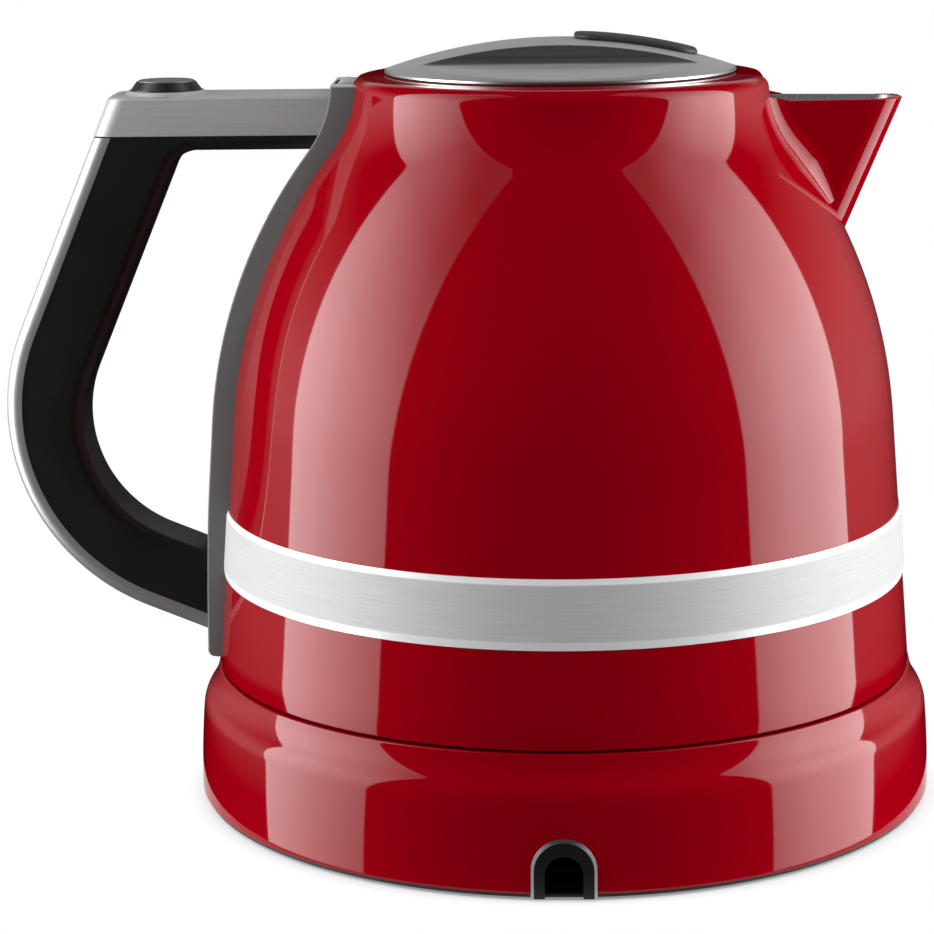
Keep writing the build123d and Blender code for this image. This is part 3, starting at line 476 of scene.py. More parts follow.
DOME_CENTRE = (-48.887, 101.025)
DOME_R = 145.0
NECK_R = 59.5
FLARE_R = 34.0
FLARE_CENTRE = (
    NECK_R + FLARE_R,
    DOME_CENTRE[1] + sqrt((DOME_R + FLARE_R) ** 2 - (NECK_R + FLARE_R - DOME_CENTRE[0]) ** 2),
)
FOOT = (101.2, 39.5)
WALL_IN, WALL_UP = 5.2, 68.5
WALL_ANGLE = degrees(atan2(WALL_IN, WALL_UP))
TURN_ANGLE = degrees(atan2(FLARE_CENTRE[1] - DOME_CENTRE[1], FLARE_CENTRE[0] - DOME_CENTRE[0]))
SHOULDER_R = 3.6
SHOULDER_ANGLE = 5.92
SHOULDER = (
    FLARE_CENTRE[0] - (FLARE_R + SHOULDER_R) * cos(radians(SHOULDER_ANGLE)),
    FLARE_CENTRE[1] - (FLARE_R + SHOULDER_R) * sin(radians(SHOULDER_ANGLE)),
)
MOUTH = (49.4, 209.9)
SPOUT_LEAN = radians(22.9)
# The spout's rim runs between two circles, each given by its x and radius.
SPOUT_TIP = (88.2, 9.0)
SPOUT_ROOT = (50.0, 13.0)
SPOUT_RIM_Z = 201.8
SPOUT_WALL = 1.2
DOWN_SPOUT = Vector((-sin(SPOUT_LEAN), 0.0, -cos(SPOUT_LEAN)))
BEND_CENTRE = (-98.0, 114.3)
BEND_R = 63.0
HANDLE_LEAN = 22.9
HANDLE_FOOT_LEAN = 22.0
ARM_Z = (193.4, 204.5)
ARM_HALF = 12.0
# Lines along the handle: how far their upper and lower runs lie inside its outside, and the radius of the bend.
STRAP_OUT = (0.34, -0.45, 62.6)
STRAP_IN = (5.2, 4.45, 57.7)
GRIP_IN = (24.05, 21.26, 36.5)
RAIL_Z = 189.1
SPINE_HALF = 16.0
SPINE_Z = (41.6, 207.4)
HINGE = (-61.0, 205.2)
HINGE_HALF = 7.6
BUTTON_X = -112.7
POCKET_R = 10.3
ROD_GAP = 0.6
BASE_R = 107.5
BASE_Z = 1.9
NOTCH_HALF = 8.9
NOTCH_TOP = 17.4


def way_at(angle):
    """The way at an angle in radians, counted from +X towards +Z."""
    return Vector((cos(angle), sin(angle)))


def wall_radius(z):
    """Radius of the body's straight wall at a height."""
    return FOOT[0] - (z - FOOT[1]) * tan(radians(WALL_ANGLE))


def body_radius(z):
    """Radius of the enamelled body at a height."""
    dome_low = DOME_CENTRE[1] + DOME_R * sin(radians(WALL_ANGLE))
    dome_high = DOME_CENTRE[1] + DOME_R * sin(radians(TURN_ANGLE))
    if z <= dome_low:
        return wall_radius(z)
    if z <= dome_high:
        return DOME_CENTRE[0] + sqrt(DOME_R**2 - (z - DOME_CENTRE[1]) ** 2)
    if z <= SHOULDER[1]:
        return FLARE_CENTRE[0] - sqrt(FLARE_R**2 - (z - FLARE_CENTRE[1]) ** 2)
    return SHOULDER[0] + SHOULDER_R


def draw_body(wall):
    """The body's outline: up its outside, over the lip and down its inside."""
    foot_round = 0.5
    crown_lean = 84.35
    lip_r, lip_drop, lip_depth = 0.8, 0.05, 3.0
    line = Line(FOOT[0] - foot_round, FOOT[1])
    line.arc(FOOT[0] - foot_round, FOOT[1] + foot_round, 90.0, 4)
    dome_arc = TURN_ANGLE - WALL_ANGLE
    line.to(
        DOME_CENTRE[0] + DOME_R * cos(radians(WALL_ANGLE)),
        DOME_CENTRE[1] + DOME_R * sin(radians(WALL_ANGLE)),
        steps=12,
    )
    line.arc(*DOME_CENTRE, dome_arc, 44)
    flare_arc = TURN_ANGLE - SHOULDER_ANGLE
    line.arc(*FLARE_CENTRE, -flare_arc, 26)
    line.arc(*SHOULDER, SHOULDER_ANGLE + crown_lean, 14)
    line.to(MOUTH[0] + lip_r, MOUTH[1] - lip_drop, steps=3)
    line.arc(MOUTH[0] + lip_r, MOUTH[1] - lip_drop - lip_r, 90.0, 4)
    line.to(MOUTH[0], MOUTH[1] - lip_depth)
    turn = radians(SHOULDER_ANGLE)
    line.to(
        FLARE_CENTRE[0] - (FLARE_R + wall) * cos(turn),
        FLARE_CENTRE[1] - (FLARE_R + wall) * sin(turn),
    )
    line.arc(*FLARE_CENTRE, flare_arc, 14)
    line.arc(*DOME_CENTRE, -dome_arc, 24)
    return line.to(FOOT[0] - wall, FOOT[1]).close()


def spout_outline(bm, inset, height, start_x, steps):
    """The spout's plan at a height above the rim, open towards the body."""
    tip_x, tip_r = SPOUT_TIP
    root_x, root_r = SPOUT_ROOT
    lean = acos((root_r - tip_r) / (tip_x - root_x))
    shift = height * tan(SPOUT_LEAN)
    z = (SPOUT_RIM_Z + height) * MM
    root_half = (root_r - inset) * sin(lean)
    tip_half = (tip_r - inset) * sin(lean)
    root_at = root_x + (root_r - inset) * cos(lean)
    tip_at = tip_x + (tip_r - inset) * cos(lean)
    share = (start_x - root_at) / (tip_at - root_at)
    start_half = root_half + (tip_half - root_half) * share
    tip = bmesh.ops.create_vert(bm, co=((start_x + shift) * MM, -start_half * MM, z))["vert"][0]
    tip = run_on(bm, tip, Vector(((tip_at + shift) * MM, -tip_half * MM, z)), steps)
    tip = swing(bm, tip, ((tip_x + shift) * MM, 0.0, z), (0.0, 0.0, 1.0), 2.0 * lean, 28)
    run_on(bm, tip, Vector(((start_x + shift) * MM, start_half * MM, z)), steps)


def spout_cutter():
    """A closed leaning prism inside the spout, used to open the body's wall."""
    above, start_x, depth = 12.0, 46.0, 62.0
    bm = bmesh.new()
    spout_outline(bm, SPOUT_WALL, above, start_x, 4)
    filled(bm, DOWN_SPOUT * (depth * MM))
    return as_object("spout_cutter", bm)


def to_body(point, sink):
    """How far a point on the spout's rim runs down the spout before it meets the body."""
    low, high, least = 0.0, 70.0 * MM, 0.6 * MM
    for _ in range(40):
        middle = (low + high) / 2
        at = point + DOWN_SPOUT * middle
        if hypot(at.x, at.y) > (body_radius(at.z / MM) - sink) * MM:
            low = middle
        else:
            high = middle
    return max(high, least)


def spout_fillet():
    """The rounded corners between the spout's sides and the body, as a ball rolled down them leaves them."""
    start_z, past_end, sunk = 207.0, 1.2, 0.88
    start_r, middle_r, end_r, middle_at = 7.0, 10.0, 3.0, 0.6
    arc_steps, run_steps = 18, 40
    root_depth, skin = 1.5, 0.03
    (tip_x, tip_r), (root_x, root_r) = SPOUT_TIP, SPOUT_ROOT
    lean = acos((root_r - tip_r) / (tip_x - root_x))
    root = Vector((root_x + root_r * cos(lean), -root_r * sin(lean), SPOUT_RIM_Z))
    tip = Vector((tip_x + tip_r * cos(lean), -tip_r * sin(lean), SPOUT_RIM_Z))
    side = DOWN_SPOUT.cross(tip - root).normalized()
    end_z = SPOUT_RIM_Z + DOWN_SPOUT.z * to_body(tip * MM, 0.0) / MM + past_end

    def ball(z, radius):
        """The centre of a ball on the spout's side, sunk a little into the body, and the body's way out."""
        off = sunk * radius
        reach = DOME_CENTRE[0] + sqrt((DOME_R + off) ** 2 - (z - DOME_CENTRE[1]) ** 2)
        away = Vector((reach - DOME_CENTRE[0], z - DOME_CENTRE[1])) / (DOME_R + off)
        if degrees(atan2(away.y, away.x)) > TURN_ANGLE:
            reach = FLARE_CENTRE[0] - sqrt((FLARE_R - off) ** 2 - (z - FLARE_CENTRE[1]) ** 2)
            away = Vector((FLARE_CENTRE[0] - reach, FLARE_CENTRE[1] - z)) / (FLARE_R - off)
        flat = side.xy
        foot = flat * ((side.dot(root) + radius - side.z * z) / flat.length_squared)
        ahead = Vector((-flat.y, flat.x)) / flat.length
        spot = foot + ahead * sqrt(reach**2 - foot.length_squared)
        return Vector((*spot, z)), Vector((*(away.x * spot / reach), away.y))

    def section(share):
        """The corner's outline at a share of its run: a point inside the body, and the ball's arc."""
        radius = start_r + (middle_r - start_r) * min(share / middle_at, 1.0)
        radius -= (middle_r - end_r) * max(share - middle_at, 0.0) / (1.0 - middle_at)
        centre, out = ball(start_z + (end_z - start_z) * share, radius)
        corner = centre - (side + out) * (radius / (1.0 + side.dot(out)))
        turn = side.rotation_difference(out)
        places = [corner - (side + out).normalized() * root_depth]
        for step in range(arc_steps + 1):
            way = side.copy()
            way.rotate(Quaternion(turn.axis, turn.angle * step / arc_steps))
            places.append(centre - way * (radius + skin))
        return [place * MM for place in places]

    bm = bmesh.new()
    chain = bmesh.ops.create_vert(bm, co=section(0.0)[0])["vert"]
    for place in section(0.0)[1:]:
        chain.append(run_on(bm, chain[-1], place))
    bm.edges.new((chain[-1], chain[0]))
    edges = bm.edges[:]
    bmesh.ops.contextual_create(bm, geom=edges)
    for step in range(1, run_steps + 1):
        made = bmesh.ops.extrude_edge_only(bm, edges=edges)["geom"]
        new = set(only(BMVert, made))
        chain = [
            next(edge.other_vert(vert) for edge in vert.link_edges if edge.other_vert(vert) in new)
            for vert in chain
        ]
        for vert, place in zip(chain, section(step / run_steps)):
            vert.co = place
        edges = [edge for edge in only(BMEdge, made) if new.issuperset(edge.verts)]
    bmesh.ops.contextual_create(bm, geom=edges)
    bmesh.ops.recalc_face_normals(bm, faces=bm.faces)
    slope = radians(11.0)
    cut = bmesh.ops.bisect_plane(
        bm,
        geom=bm.verts[:] + bm.edges[:] + bm.faces[:],
        plane_co=Vector((65.5, 0.0, SPOUT_RIM_Z - 0.1)) * MM,
        plane_no=(sin(slope), 0.0, cos(slope)),
        clear_outer=True,
    )["geom_cut"]
    bmesh.ops.contextual_create(bm, geom=only(BMEdge, cut))
    bmesh.ops.mirror(bm, geom=bm.verts[:] + bm.edges[:] + bm.faces[:], axis="Y", merge_dist=-1.0)
    bmesh.ops.recalc_face_normals(bm, faces=bm.faces)
    return as_object("spout_fillet", bm, sharp=50.0)


def handle_run(left, foot, radius, top_z, foot_x):
    """Where a line along the handle starts, bends and ends. left and foot move its straight runs inwards."""
    turn_in, turn_out = radians(180.0 - HANDLE_LEAN), radians(270.0 - HANDLE_FOOT_LEAN)
    ways = Matrix((way_at(turn_in), way_at(turn_out)))
    centre = Vector(BEND_CENTRE) + ways.inverted() @ Vector((BEND_R - left - radius, BEND_R - foot - radius))
    start, end = centre + radius * ways[0], centre + radius * ways[1]
    top = (start.x + (top_z - start.y) * tan(radians(HANDLE_LEAN)), top_z)
    low = (foot_x, end.y - (foot_x - end.x) * tan(radians(HANDLE_FOOT_LEAN)))
    return centre, top, start, end, low


def handle_outline(outer, inner, top_z, inner_top_z, foot_x):
    """The handle's outer line down to its foot, and back up along an inner line."""
    bend = 90.0 + HANDLE_LEAN - HANDLE_FOOT_LEAN
    centre, top, start, end, low = handle_run(*outer, top_z, foot_x)
    line = Line(*top)
    line.to(*start, steps=4)
    line.arc(*centre, bend, 48)
    line.to(*low, steps=2)
    centre, top, start, end, low = handle_run(*inner, inner_top_z, foot_x)
    line.to(*low)
    line.to(*end, steps=2)
    line.arc(*centre, -bend, 48)
    return line.to(*top, steps=4)


def from_bend(place, run):
    """How far a place lies outside a line along the handle, in millimetres."""
    radius = run[2]
    centre, _, start, end, _ = handle_run(*run, ARM_Z[0], FOOT[0])
    at = place.xz / MM - centre
    way_in, way_out = (start - centre) / radius, (end - centre) / radius
    up, onward = Vector((way_in.y, -way_in.x)), Vector((-way_out.y, way_out.x))
    if at.dot(up) <= 0 and at.dot(onward) <= 0:
        return at.length - radius
    return max(at.dot(way_in), at.dot(way_out)) - radius


def spine_proud(z):
    """How far the spine stands off the body at a height: thinner towards its foot."""
    full, thinner, thin_from, thin_over = 4.9, 2.0, 90.0, 46.0
    return full - thinner * min(max((thin_from - z) / thin_over, 0.0), 1.0) ** 1.5


def block(name, low, high):
    """A closed box between two corners, in millimetres."""
    low, high = Vector(low) * MM, Vector(high) * MM
    bm = bmesh.new()
    bmesh.ops.create_cube(
        bm, size=1.0, matrix=Matrix.Translation((low + high) / 2) @ Matrix.Diagonal(high - low).to_4x4()
    )
    return as_object(name, bm)


def rod_way():
    """The way that the release rod slides along, with a gap round it."""
    low, high = (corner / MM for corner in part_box("release_rod"))
    space = Vector((4.0, ROD_GAP, ROD_GAP))
    return block("rod_way", low - space, high + space)


# Settings that a user would change

class KettleSizes(bpy.types.PropertyGroup):
    """Sizes of the dressed pieces."""

    segments: IntProperty(name="Segments", description="Steps round a turned piece", default=256, min=32)
    wall: FloatProperty(
        name="Enamel wall", description="Wall of the body and base, in millimetres", default=1.5, min=0.5
    )
    band_proud: FloatProperty(
        name="Band proud", description="How far the band stands off the body, in millimetres", default=0.7
    )
    band_bevel: FloatProperty(
        name="Band bevel", description="Height of the band's polished edges, in millimetres", default=1.5
    )
    trim_width: FloatProperty(
        name="Notch trim", description="Width of the bright line round the notch, in millimetres", default=0.9
    )


class KettleColours(bpy.types.PropertyGroup):
    """Colours of the finishes."""

    enamel_deep: FloatVectorProperty(
        name="Deep enamel", description="Darker tone of the enamel", subtype="COLOR", size=4,
        min=0.0, max=1.0, default=linear(128, 0, 14),
    )
    enamel_bright: FloatVectorProperty(
        name="Bright enamel", description="Lighter tone of the enamel", subtype="COLOR", size=4,
        min=0.0, max=1.0, default=linear(146, 0, 17),
    )
    steel: FloatProperty(name="Steel", description="Lightness of the brushed steel", default=0.62)
    spine: FloatProperty(name="Spine", description="Lightness of the satin spine", default=0.12)
    grip: FloatProperty(name="Grip", description="Lightness of the black grip", default=0.005)


class KettleStage(bpy.types.PropertyGroup):
    """The stage's light."""

    left_level: FloatProperty(name="Left softbox", description="Brightness of the left softbox", default=7.8)
    right_level: FloatProperty(
        name="Right softbox", description="Brightness of the right softbox", default=9.7
    )
    floor_radius: FloatProperty(
        name="Floor radius", description="Radius of the pale floor", default=0.114,
        subtype="DISTANCE", unit="LENGTH",
    )
    ambient: FloatProperty(name="Ambient", description="Level of the soft light from all round", default=0.52)


def sizes():
    return bpy.context.scene.kettle_sizes


def colours():
    return bpy.context.scene.kettle_colours


# Pieces

class KETTLE_OT_body(bpy.types.Operator):
    """Makes the enamelled body and its spout."""

    bl_idname = "kettle.body"
    bl_label = "Body and spout"

    def execute(self, context):
        red = enamel("fired_enamel", colours().enamel_deep, colours().enamel_bright)
        bm = draw_body(sizes().wall)
        turned(bm, sizes().segments)
        body = as_object("enamel_body", bm)
        low, high = (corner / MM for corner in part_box("lid_hinge_arm"))
        back, side, barrel_half, over = -70.0, high.y + 0.6, HINGE_HALF + 0.1, high.z + 20.0
        hinge_way = block("hinge_way", (back, -side, low.z - 0.3), (-30.0, side, over))
        barrel_way = block("barrel_way", (back, -barrel_half, HINGE[1] - 3.3), (-57.5, barrel_half, over))
        cut_by(body, [spout_cutter(), hinge_way, barrel_way, rod_way()])
        fitted(body, red, "kettle", "red_enamel", "outer_shell", "lower_shell")

        root_x, sink, rim_round = 56.6, 1.0, 0.4
        bm = bmesh.new()
        spout_outline(bm, 0.0, 0.0, root_x, 26)
        made = bmesh.ops.extrude_edge_only(bm, edges=bm.edges[:])
        for vert in only(BMVert, made["geom"]):
            vert.co += DOWN_SPOUT * to_body(vert.co, sink)
        bmesh.ops.recalc_face_normals(bm, faces=bm.faces)
        if sum(face.normal.x for face in bm.faces) < 0:
            bmesh.ops.reverse_faces(bm, faces=bm.faces)
        bmesh.ops.solidify(bm, geom=bm.faces[:], thickness=SPOUT_WALL * MM)
        rim = [
            edge for edge in edges_at(bm, lambda place: abs(place.z - SPOUT_RIM_Z * MM) < 1e-5)
            if len(edge.link_faces) == 2 and edge.calc_face_angle(0.0) > 0.6
        ]
        rounded(bm, rim, rim_round)
        fitted(as_object("enamel_spout", bm), red, "kettle", "red_enamel", "spout_shell")
        fitted(spout_fillet(), red, "kettle", "red_enamel")
        return {"FINISHED"}


class KETTLE_OT_base(bpy.types.Operator):
    """Makes the enamelled base with its cord notch, slider slot and button hole."""

    bl_idname = "kettle.base"
    bl_label = "Base"

    def execute(self, context):
        red = bpy.data.materials["fired_enamel"]
        wall, edge, top_z, crisp = 2.0, 0.6, 38.2, 0.05
        sweep_r, bulge_r, tip_depth = 272.0, 10.5, 0.8
        wall_lean, lean, top_lean = (radians(angle) for angle in (5.0, 35.0, 10.0))
        sweep = Vector((BASE_R - sweep_r, BASE_Z + edge))
        waist = sweep + sweep_r * way_at(wall_lean)
        bulge = waist - bulge_r * way_at(wall_lean)
        turn = bulge + bulge_r * way_at(lean)
        hollow_r = (top_z + edge * sin(top_lean) - turn.y) / (sin(lean) - sin(top_lean))
        hollow = turn + hollow_r * way_at(lean)
        tip_r, tip_z = hollow - (hollow_r + edge) * way_at(top_lean)
        line = Line(BASE_R - edge, BASE_Z)
        line.arc(BASE_R - edge, BASE_Z + edge, 90.0, 4)
        line.arc(*sweep, crisp, 1)
        line.arc(*sweep, degrees(wall_lean) - crisp, 10)
        line.arc(*bulge, degrees(lean - wall_lean), 14)
        line.arc(*hollow, degrees(top_lean - lean), 18)
        line.arc(tip_r, tip_z, 90.0 - degrees(top_lean), 5)
        line.to(tip_r - wall + edge, tip_z + edge)
        line.to(tip_r - wall + edge, tip_z - tip_depth)
        line.to(waist.x - wall, waist.y, steps=6)
        bm = line.to(BASE_R - wall, BASE_Z, steps=3).close()
        turned(bm, sizes().segments)
        base = as_object("enamel_base", bm)
        cut_by(base, [self.notch(), self.slider_slot(), self.button_hole()])
        fitted(base, red, "base", "red_enamel", "base_shell")
        return {"FINISHED"}

    def notch(self):
        """The cord notch, as a closed shape to cut with."""
        below, half_depth, middle = -1.0, 12.0, -100.5
        line = Line(-NOTCH_HALF, below)
        line.to(NOTCH_HALF, below).to(NOTCH_HALF, NOTCH_TOP - NOTCH_HALF)
        bm = line.arc(0.0, NOTCH_TOP - NOTCH_HALF, 180.0, 32).close()
        pulled(bm, half_depth, middle)
        return as_object("notch", bm)

    def slider_slot(self):
        """The temperature slider's slot round the back, as a closed shape to cut with."""
        (inside, outside), (low, high) = (100.0, 112.0), (9.5, 14.1)
        start, sweep = radians(120.9), radians(55.2)
        bm = Line(inside, low).to(outside, low).to(outside, high).to(inside, high).close()
        face = bmesh.ops.contextual_create(bm, geom=bm.edges[:])["faces"]
        bmesh.ops.rotate(bm, verts=bm.verts, cent=(0, 0, 0), matrix=Matrix.Rotation(start, 3, "Z"))
        bmesh.ops.spin(bm, geom=face, cent=(0, 0, 0), axis=(0, 0, 1), angle=sweep, steps=40)
        bmesh.ops.recalc_face_normals(bm, faces=bm.faces)
        return as_object("slot", bm)

    def button_hole(self):
        """The power button's hole, as a closed shape to cut with."""
        radius, depth, height, facing = 6.3, 20.0, 13.0, radians(96.0)
        place = Matrix.Rotation(facing, 4, "Z") @ Matrix.Translation((106.0 * MM, 0.0, height * MM))
        lying = Matrix.Rotation(radians(90.0), 4, "Y")
        return as_object("hole", cylinder(radius, depth, 64, place @ lying))


class KETTLE_OT_band(bpy.types.Operator):
    """Makes the brushed band with its polished edges."""

    bl_idname = "kettle.band"
    bl_label = "Band"

    def execute(self, context):
        bottom, top = 66.5, 85.5
        seat, lip, fade_in, fade = 0.1, 0.3, 0.3, 0.4
        proud, bevel = sizes().band_proud, sizes().band_bevel
        low_bevel = 1.4 * bevel
        middle = 0.5 * (bottom + top)
        line = Line(wall_radius(bottom) + seat, bottom)
        line.to(wall_radius(bottom) + lip, bottom)
        line.to(wall_radius(bottom + low_bevel) + proud, bottom + low_bevel, steps=2)
        line.to(wall_radius(middle) + proud, middle, steps=3)
        line.to(wall_radius(top - bevel) + proud, top - bevel, steps=3)
        line.to(wall_radius(top) + lip, top, steps=2)
        bm = line.to(wall_radius(top) + seat, top).close()
        gap = degrees(asin((SPINE_HALF + seat) / wall_radius(middle)))
        turned(bm, sizes().segments, 360.0 - 2 * gap, 180.0 + gap)
        bmesh.ops.holes_fill(bm, edges=[edge for edge in bm.edges if edge.is_boundary])
        bmesh.ops.recalc_face_normals(bm, faces=bm.faces)
        band = as_object("steel_band", bm, sharp=8.0)
        p = new_paint("band_steel")
        place = p.object_place()
        z = p.parts_of(place)[2]
        lines = brush_lines(p, place, round_z)
        cloud = p.noise(place, 40.0)
        above = (z - (top - bevel - fade_in) * MM) / (fade * MM)
        below = ((bottom + low_bevel + fade_in) * MM - z) / (fade * MM)
        edge = above.clamp() + below.clamp()
        material = principled(
            p,
            colour=p.mix(edge, brush_colour(p, lines, colours().steel * 0.78, 0.86, 1.12), grey(0.86)),
            metal=0.12 + 0.1 * edge,
            specular=0.3,
            rough=(1 - edge) * (0.55 + 0.12 * lines + 0.04 * cloud) + edge * 0.30,
            normal=p.bump(lines * (1 - edge), 0.12, 0.00005),
        )
        fitted(band, material, "kettle", "brushed_steel", "band")
        return {"FINISHED"}


class KETTLE_OT_handle(bpy.types.Operator):
    """Makes the handle's arm, strap and grip, the spine that carries it and the lid button."""

    bl_idname = "kettle.handle"
    bl_label = "Handle"

    def execute(self, context):
        self.make_arm()
        self.make_strap()
        self.make_grip()
        self.make_spine()
        self.make_button()
        dress(moulded("rod_grey", 0.05), "release_rod")
        screw = polished("screw_steel", grey(0.55), rough=0.2)
        dress(screw, "handle_screws", "button_spring", "lid_spring", "hinge_pin")
        return {"FINISHED"}

    def make_arm(self):
        """The steel arm from the spine to the strap, with the lid button's pocket."""
        front, corner_r, top_r, pocket_z, pocket_depth = -63.0, 5.2, 1.1, 205.8, 12.0
        lean = tan(radians(HANDLE_LEAN))
        start = Vector(BEND_CENTRE) + BEND_R * way_at(radians(180.0 - HANDLE_LEAN))
        end_low, end_high = (start.x + (z - start.y) * lean for z in ARM_Z)
        line = Line(end_low, ARM_Z[0])
        bm = line.to(front, ARM_Z[0]).to(front, ARM_Z[1]).to(end_high, ARM_Z[1]).close()
        pulled(bm, ARM_HALF)
        upright = [
            edge for edge in edges_at(bm, lambda place: place.x < -0.12)
            if abs(edge.verts[0].co.z - edge.verts[1].co.z) > 0.005
        ]
        rounded(bm, upright, corner_r, 8)
        top_edges = [
            edge for edge in edges_at(bm, lambda place: abs(place.z - ARM_Z[1] * MM) < 1e-5)
            if any(vert.co.x < -0.07 for vert in edge.verts)
        ]
        rounded(bm, top_edges, top_r, 4)
        arm = as_object("steel_arm", bm)
        place = Matrix.Translation((BUTTON_X * MM, 0.0, pocket_z * MM))
        cut_by(arm, [as_object("pocket", cylinder(POCKET_R, pocket_depth, 96, place)), rod_way()])
        steel = brushed("arm_steel", colours().steel * 0.7, along("x"), metal=0.35)
        fitted(arm, steel, "kettle", "brushed_steel", "handle_arm")

    def make_strap(self):
        """The steel strap down the outside of the handle."""
        top_z, foot_x, edge_r = ARM_Z[0] - 0.4, -102.0, 3.6
        bm = handle_outline(STRAP_OUT, STRAP_IN, top_z, top_z, foot_x).close()
        pulled(bm, ARM_HALF + 0.1)
        rounded(bm, side_corners(bm, lambda place: from_bend(place, STRAP_OUT) > -0.1), edge_r, 6)
        steel = brushed("strap_steel", colours().steel * 0.8, along("y"), rough=0.36, metal=0.75)
        fitted(as_object("steel_strap", bm), steel, "kettle", "brushed_steel", "handle_strap")

    def make_grip(self):
        """The black grip inside the strap, with the rail under the arm."""
        top_z, foot_x, front, turn_r, edge_r = ARM_Z[0] - 0.1, -101.0, -66.0, 5.3, 3.6
        line = handle_outline(STRAP_IN, GRIP_IN, top_z, RAIL_Z, foot_x)
        corner = line.tip.co.copy()
        bm = line.to(front, RAIL_Z).to(front, top_z).close()
        pulled(bm, ARM_HALF)
        rounded(bm, edges_at(bm, lambda place: (place.xz - corner.xz).length < 1e-5), turn_r, 8)

        def inside(place):
            return from_bend(place, STRAP_IN) < -8.0 and place.z < (RAIL_Z + 0.1) * MM

        inner = [
            edge for edge in side_corners(bm, inside)
            if any(vert.co.x < (front - 0.5) * MM for vert in edge.verts)
        ]
        rounded(bm, inner, edge_r, 6)
        black = moulded("grip_black", colours().grip, rough=0.42, grain=1500.0)
        fitted(as_object("black_grip", bm), black, "kettle", "soft_black", "handle_grip")

    def make_spine(self):
        """The satin spine down the body's back, with the slot for the lid's hinge and the hinge's barrel."""
        low, high = SPINE_Z
        steps, sunk, foot_r, edge_r = 64, 3.0, 2.2, 1.0
        heights = [high + (low - high) * step / steps for step in range(steps + 1)]
        line = Line(-body_radius(high) - spine_proud(high), high)
        for height in heights[1:]:
            line.to(-body_radius(height) - spine_proud(height), height)
        for height in reversed(heights):
            line.to(sunk - body_radius(height), height)
        bm = line.close()
        pulled(bm, SPINE_HALF)
        foot = [
            edge for edge in edges_at(bm, lambda place: place.z < (low + 0.1) * MM and place.x < -0.101)
            if abs(edge.verts[0].co.y - edge.verts[1].co.y) > 0.02
        ]
        rounded(bm, foot, foot_r, 5)
        sides = side_corners(bm, lambda place: -place.x / MM > body_radius(place.z / MM) + 0.2)
        rounded(bm, sides, edge_r, 4)
        spine = as_object("satin_spine", bm)
        reach, barrel_r, barrel_end = 3.2, 3.05, 0.4
        hinge_way = block(
            "hinge_way",
            (HINGE[0] - reach, -HINGE_HALF, HINGE[1] - reach),
            (-30.0, HINGE_HALF, high + 20.0),
        )
        cut_by(spine, [hinge_way, rod_way()])
        paint = satin("spine_satin", colours().spine, rough=0.52, metal=0.1, cap=high - 0.4)
        fitted(spine, paint, "kettle", "satin_grey", "spine_cover")

        place = Matrix.Translation((HINGE[0] * MM, 0.0, HINGE[1] * MM))
        bm = cylinder(barrel_r, 2 * HINGE_HALF - 0.4, 48, place @ Matrix.Rotation(radians(90.0), 4, "X"))
        rounded(bm, filter(is_corner, bm.edges), barrel_end)
        hinge_grey = satin("hinge_grey", HINGE_GREY, rough=0.5, metal=0.1)
        fitted(as_object("hinge_barrel", bm), hinge_grey, "lid", "satin_grey")
        dress(hinge_grey, "lid_hinge_arm")

    def make_button(self):
        """The lid button: a black skirt with rounded shoulders, a grey top and a steel collar on the arm."""
        black = moulded("button_black", 0.012, rough=0.30, grain=900.0)
        line = Line(8.9, 203.1)
        line.to(10.0, 203.1).to(10.0, 205.9).to(8.6, 207.8, steps=3)
        line.arc(8.2, 207.6, 65.0, 5)
        bm = line.to(0.0, 208.0).to(0.0, 206.0).to(8.9, 206.0).close()
        turned(bm, 96)
        skirt = (bm, "button_skirt", black, "lid_button", "soft_black", "button_stem")
        line = Line(0.0, 207.6).to(8.0, 207.6).to(8.0, 208.1)
        line.arc(7.7, 208.1, 80.0, 5)
        bm = line.to(0.0, 208.55, steps=4).close()
        turned(bm, 96)
        paint = satin("button_grey", 0.20, rough=0.36)
        top = (bm, "button_top", paint, "lid_button", "satin_grey", "button_cap")
        line = Line(POCKET_R, 203.8).to(11.7, 204.3).to(11.7, 204.5).to(10.8, 205.5, steps=4)
        line.arc(10.6, 205.3, 45.0, 4)
        bm = line.to(POCKET_R, 205.5).close()
        turned(bm, 96)
        steel = bpy.data.materials["arm_steel"]
        ring = (bm, "button_collar", steel, "kettle", "brushed_steel", "button_bezel")
        for bm, name, material, body, slot, node in (skirt, top, ring):
            bmesh.ops.translate(bm, verts=bm.verts, vec=(BUTTON_X * MM, 0.0, 0.0))
            fitted(as_object(name, bm), material, body, slot, node)


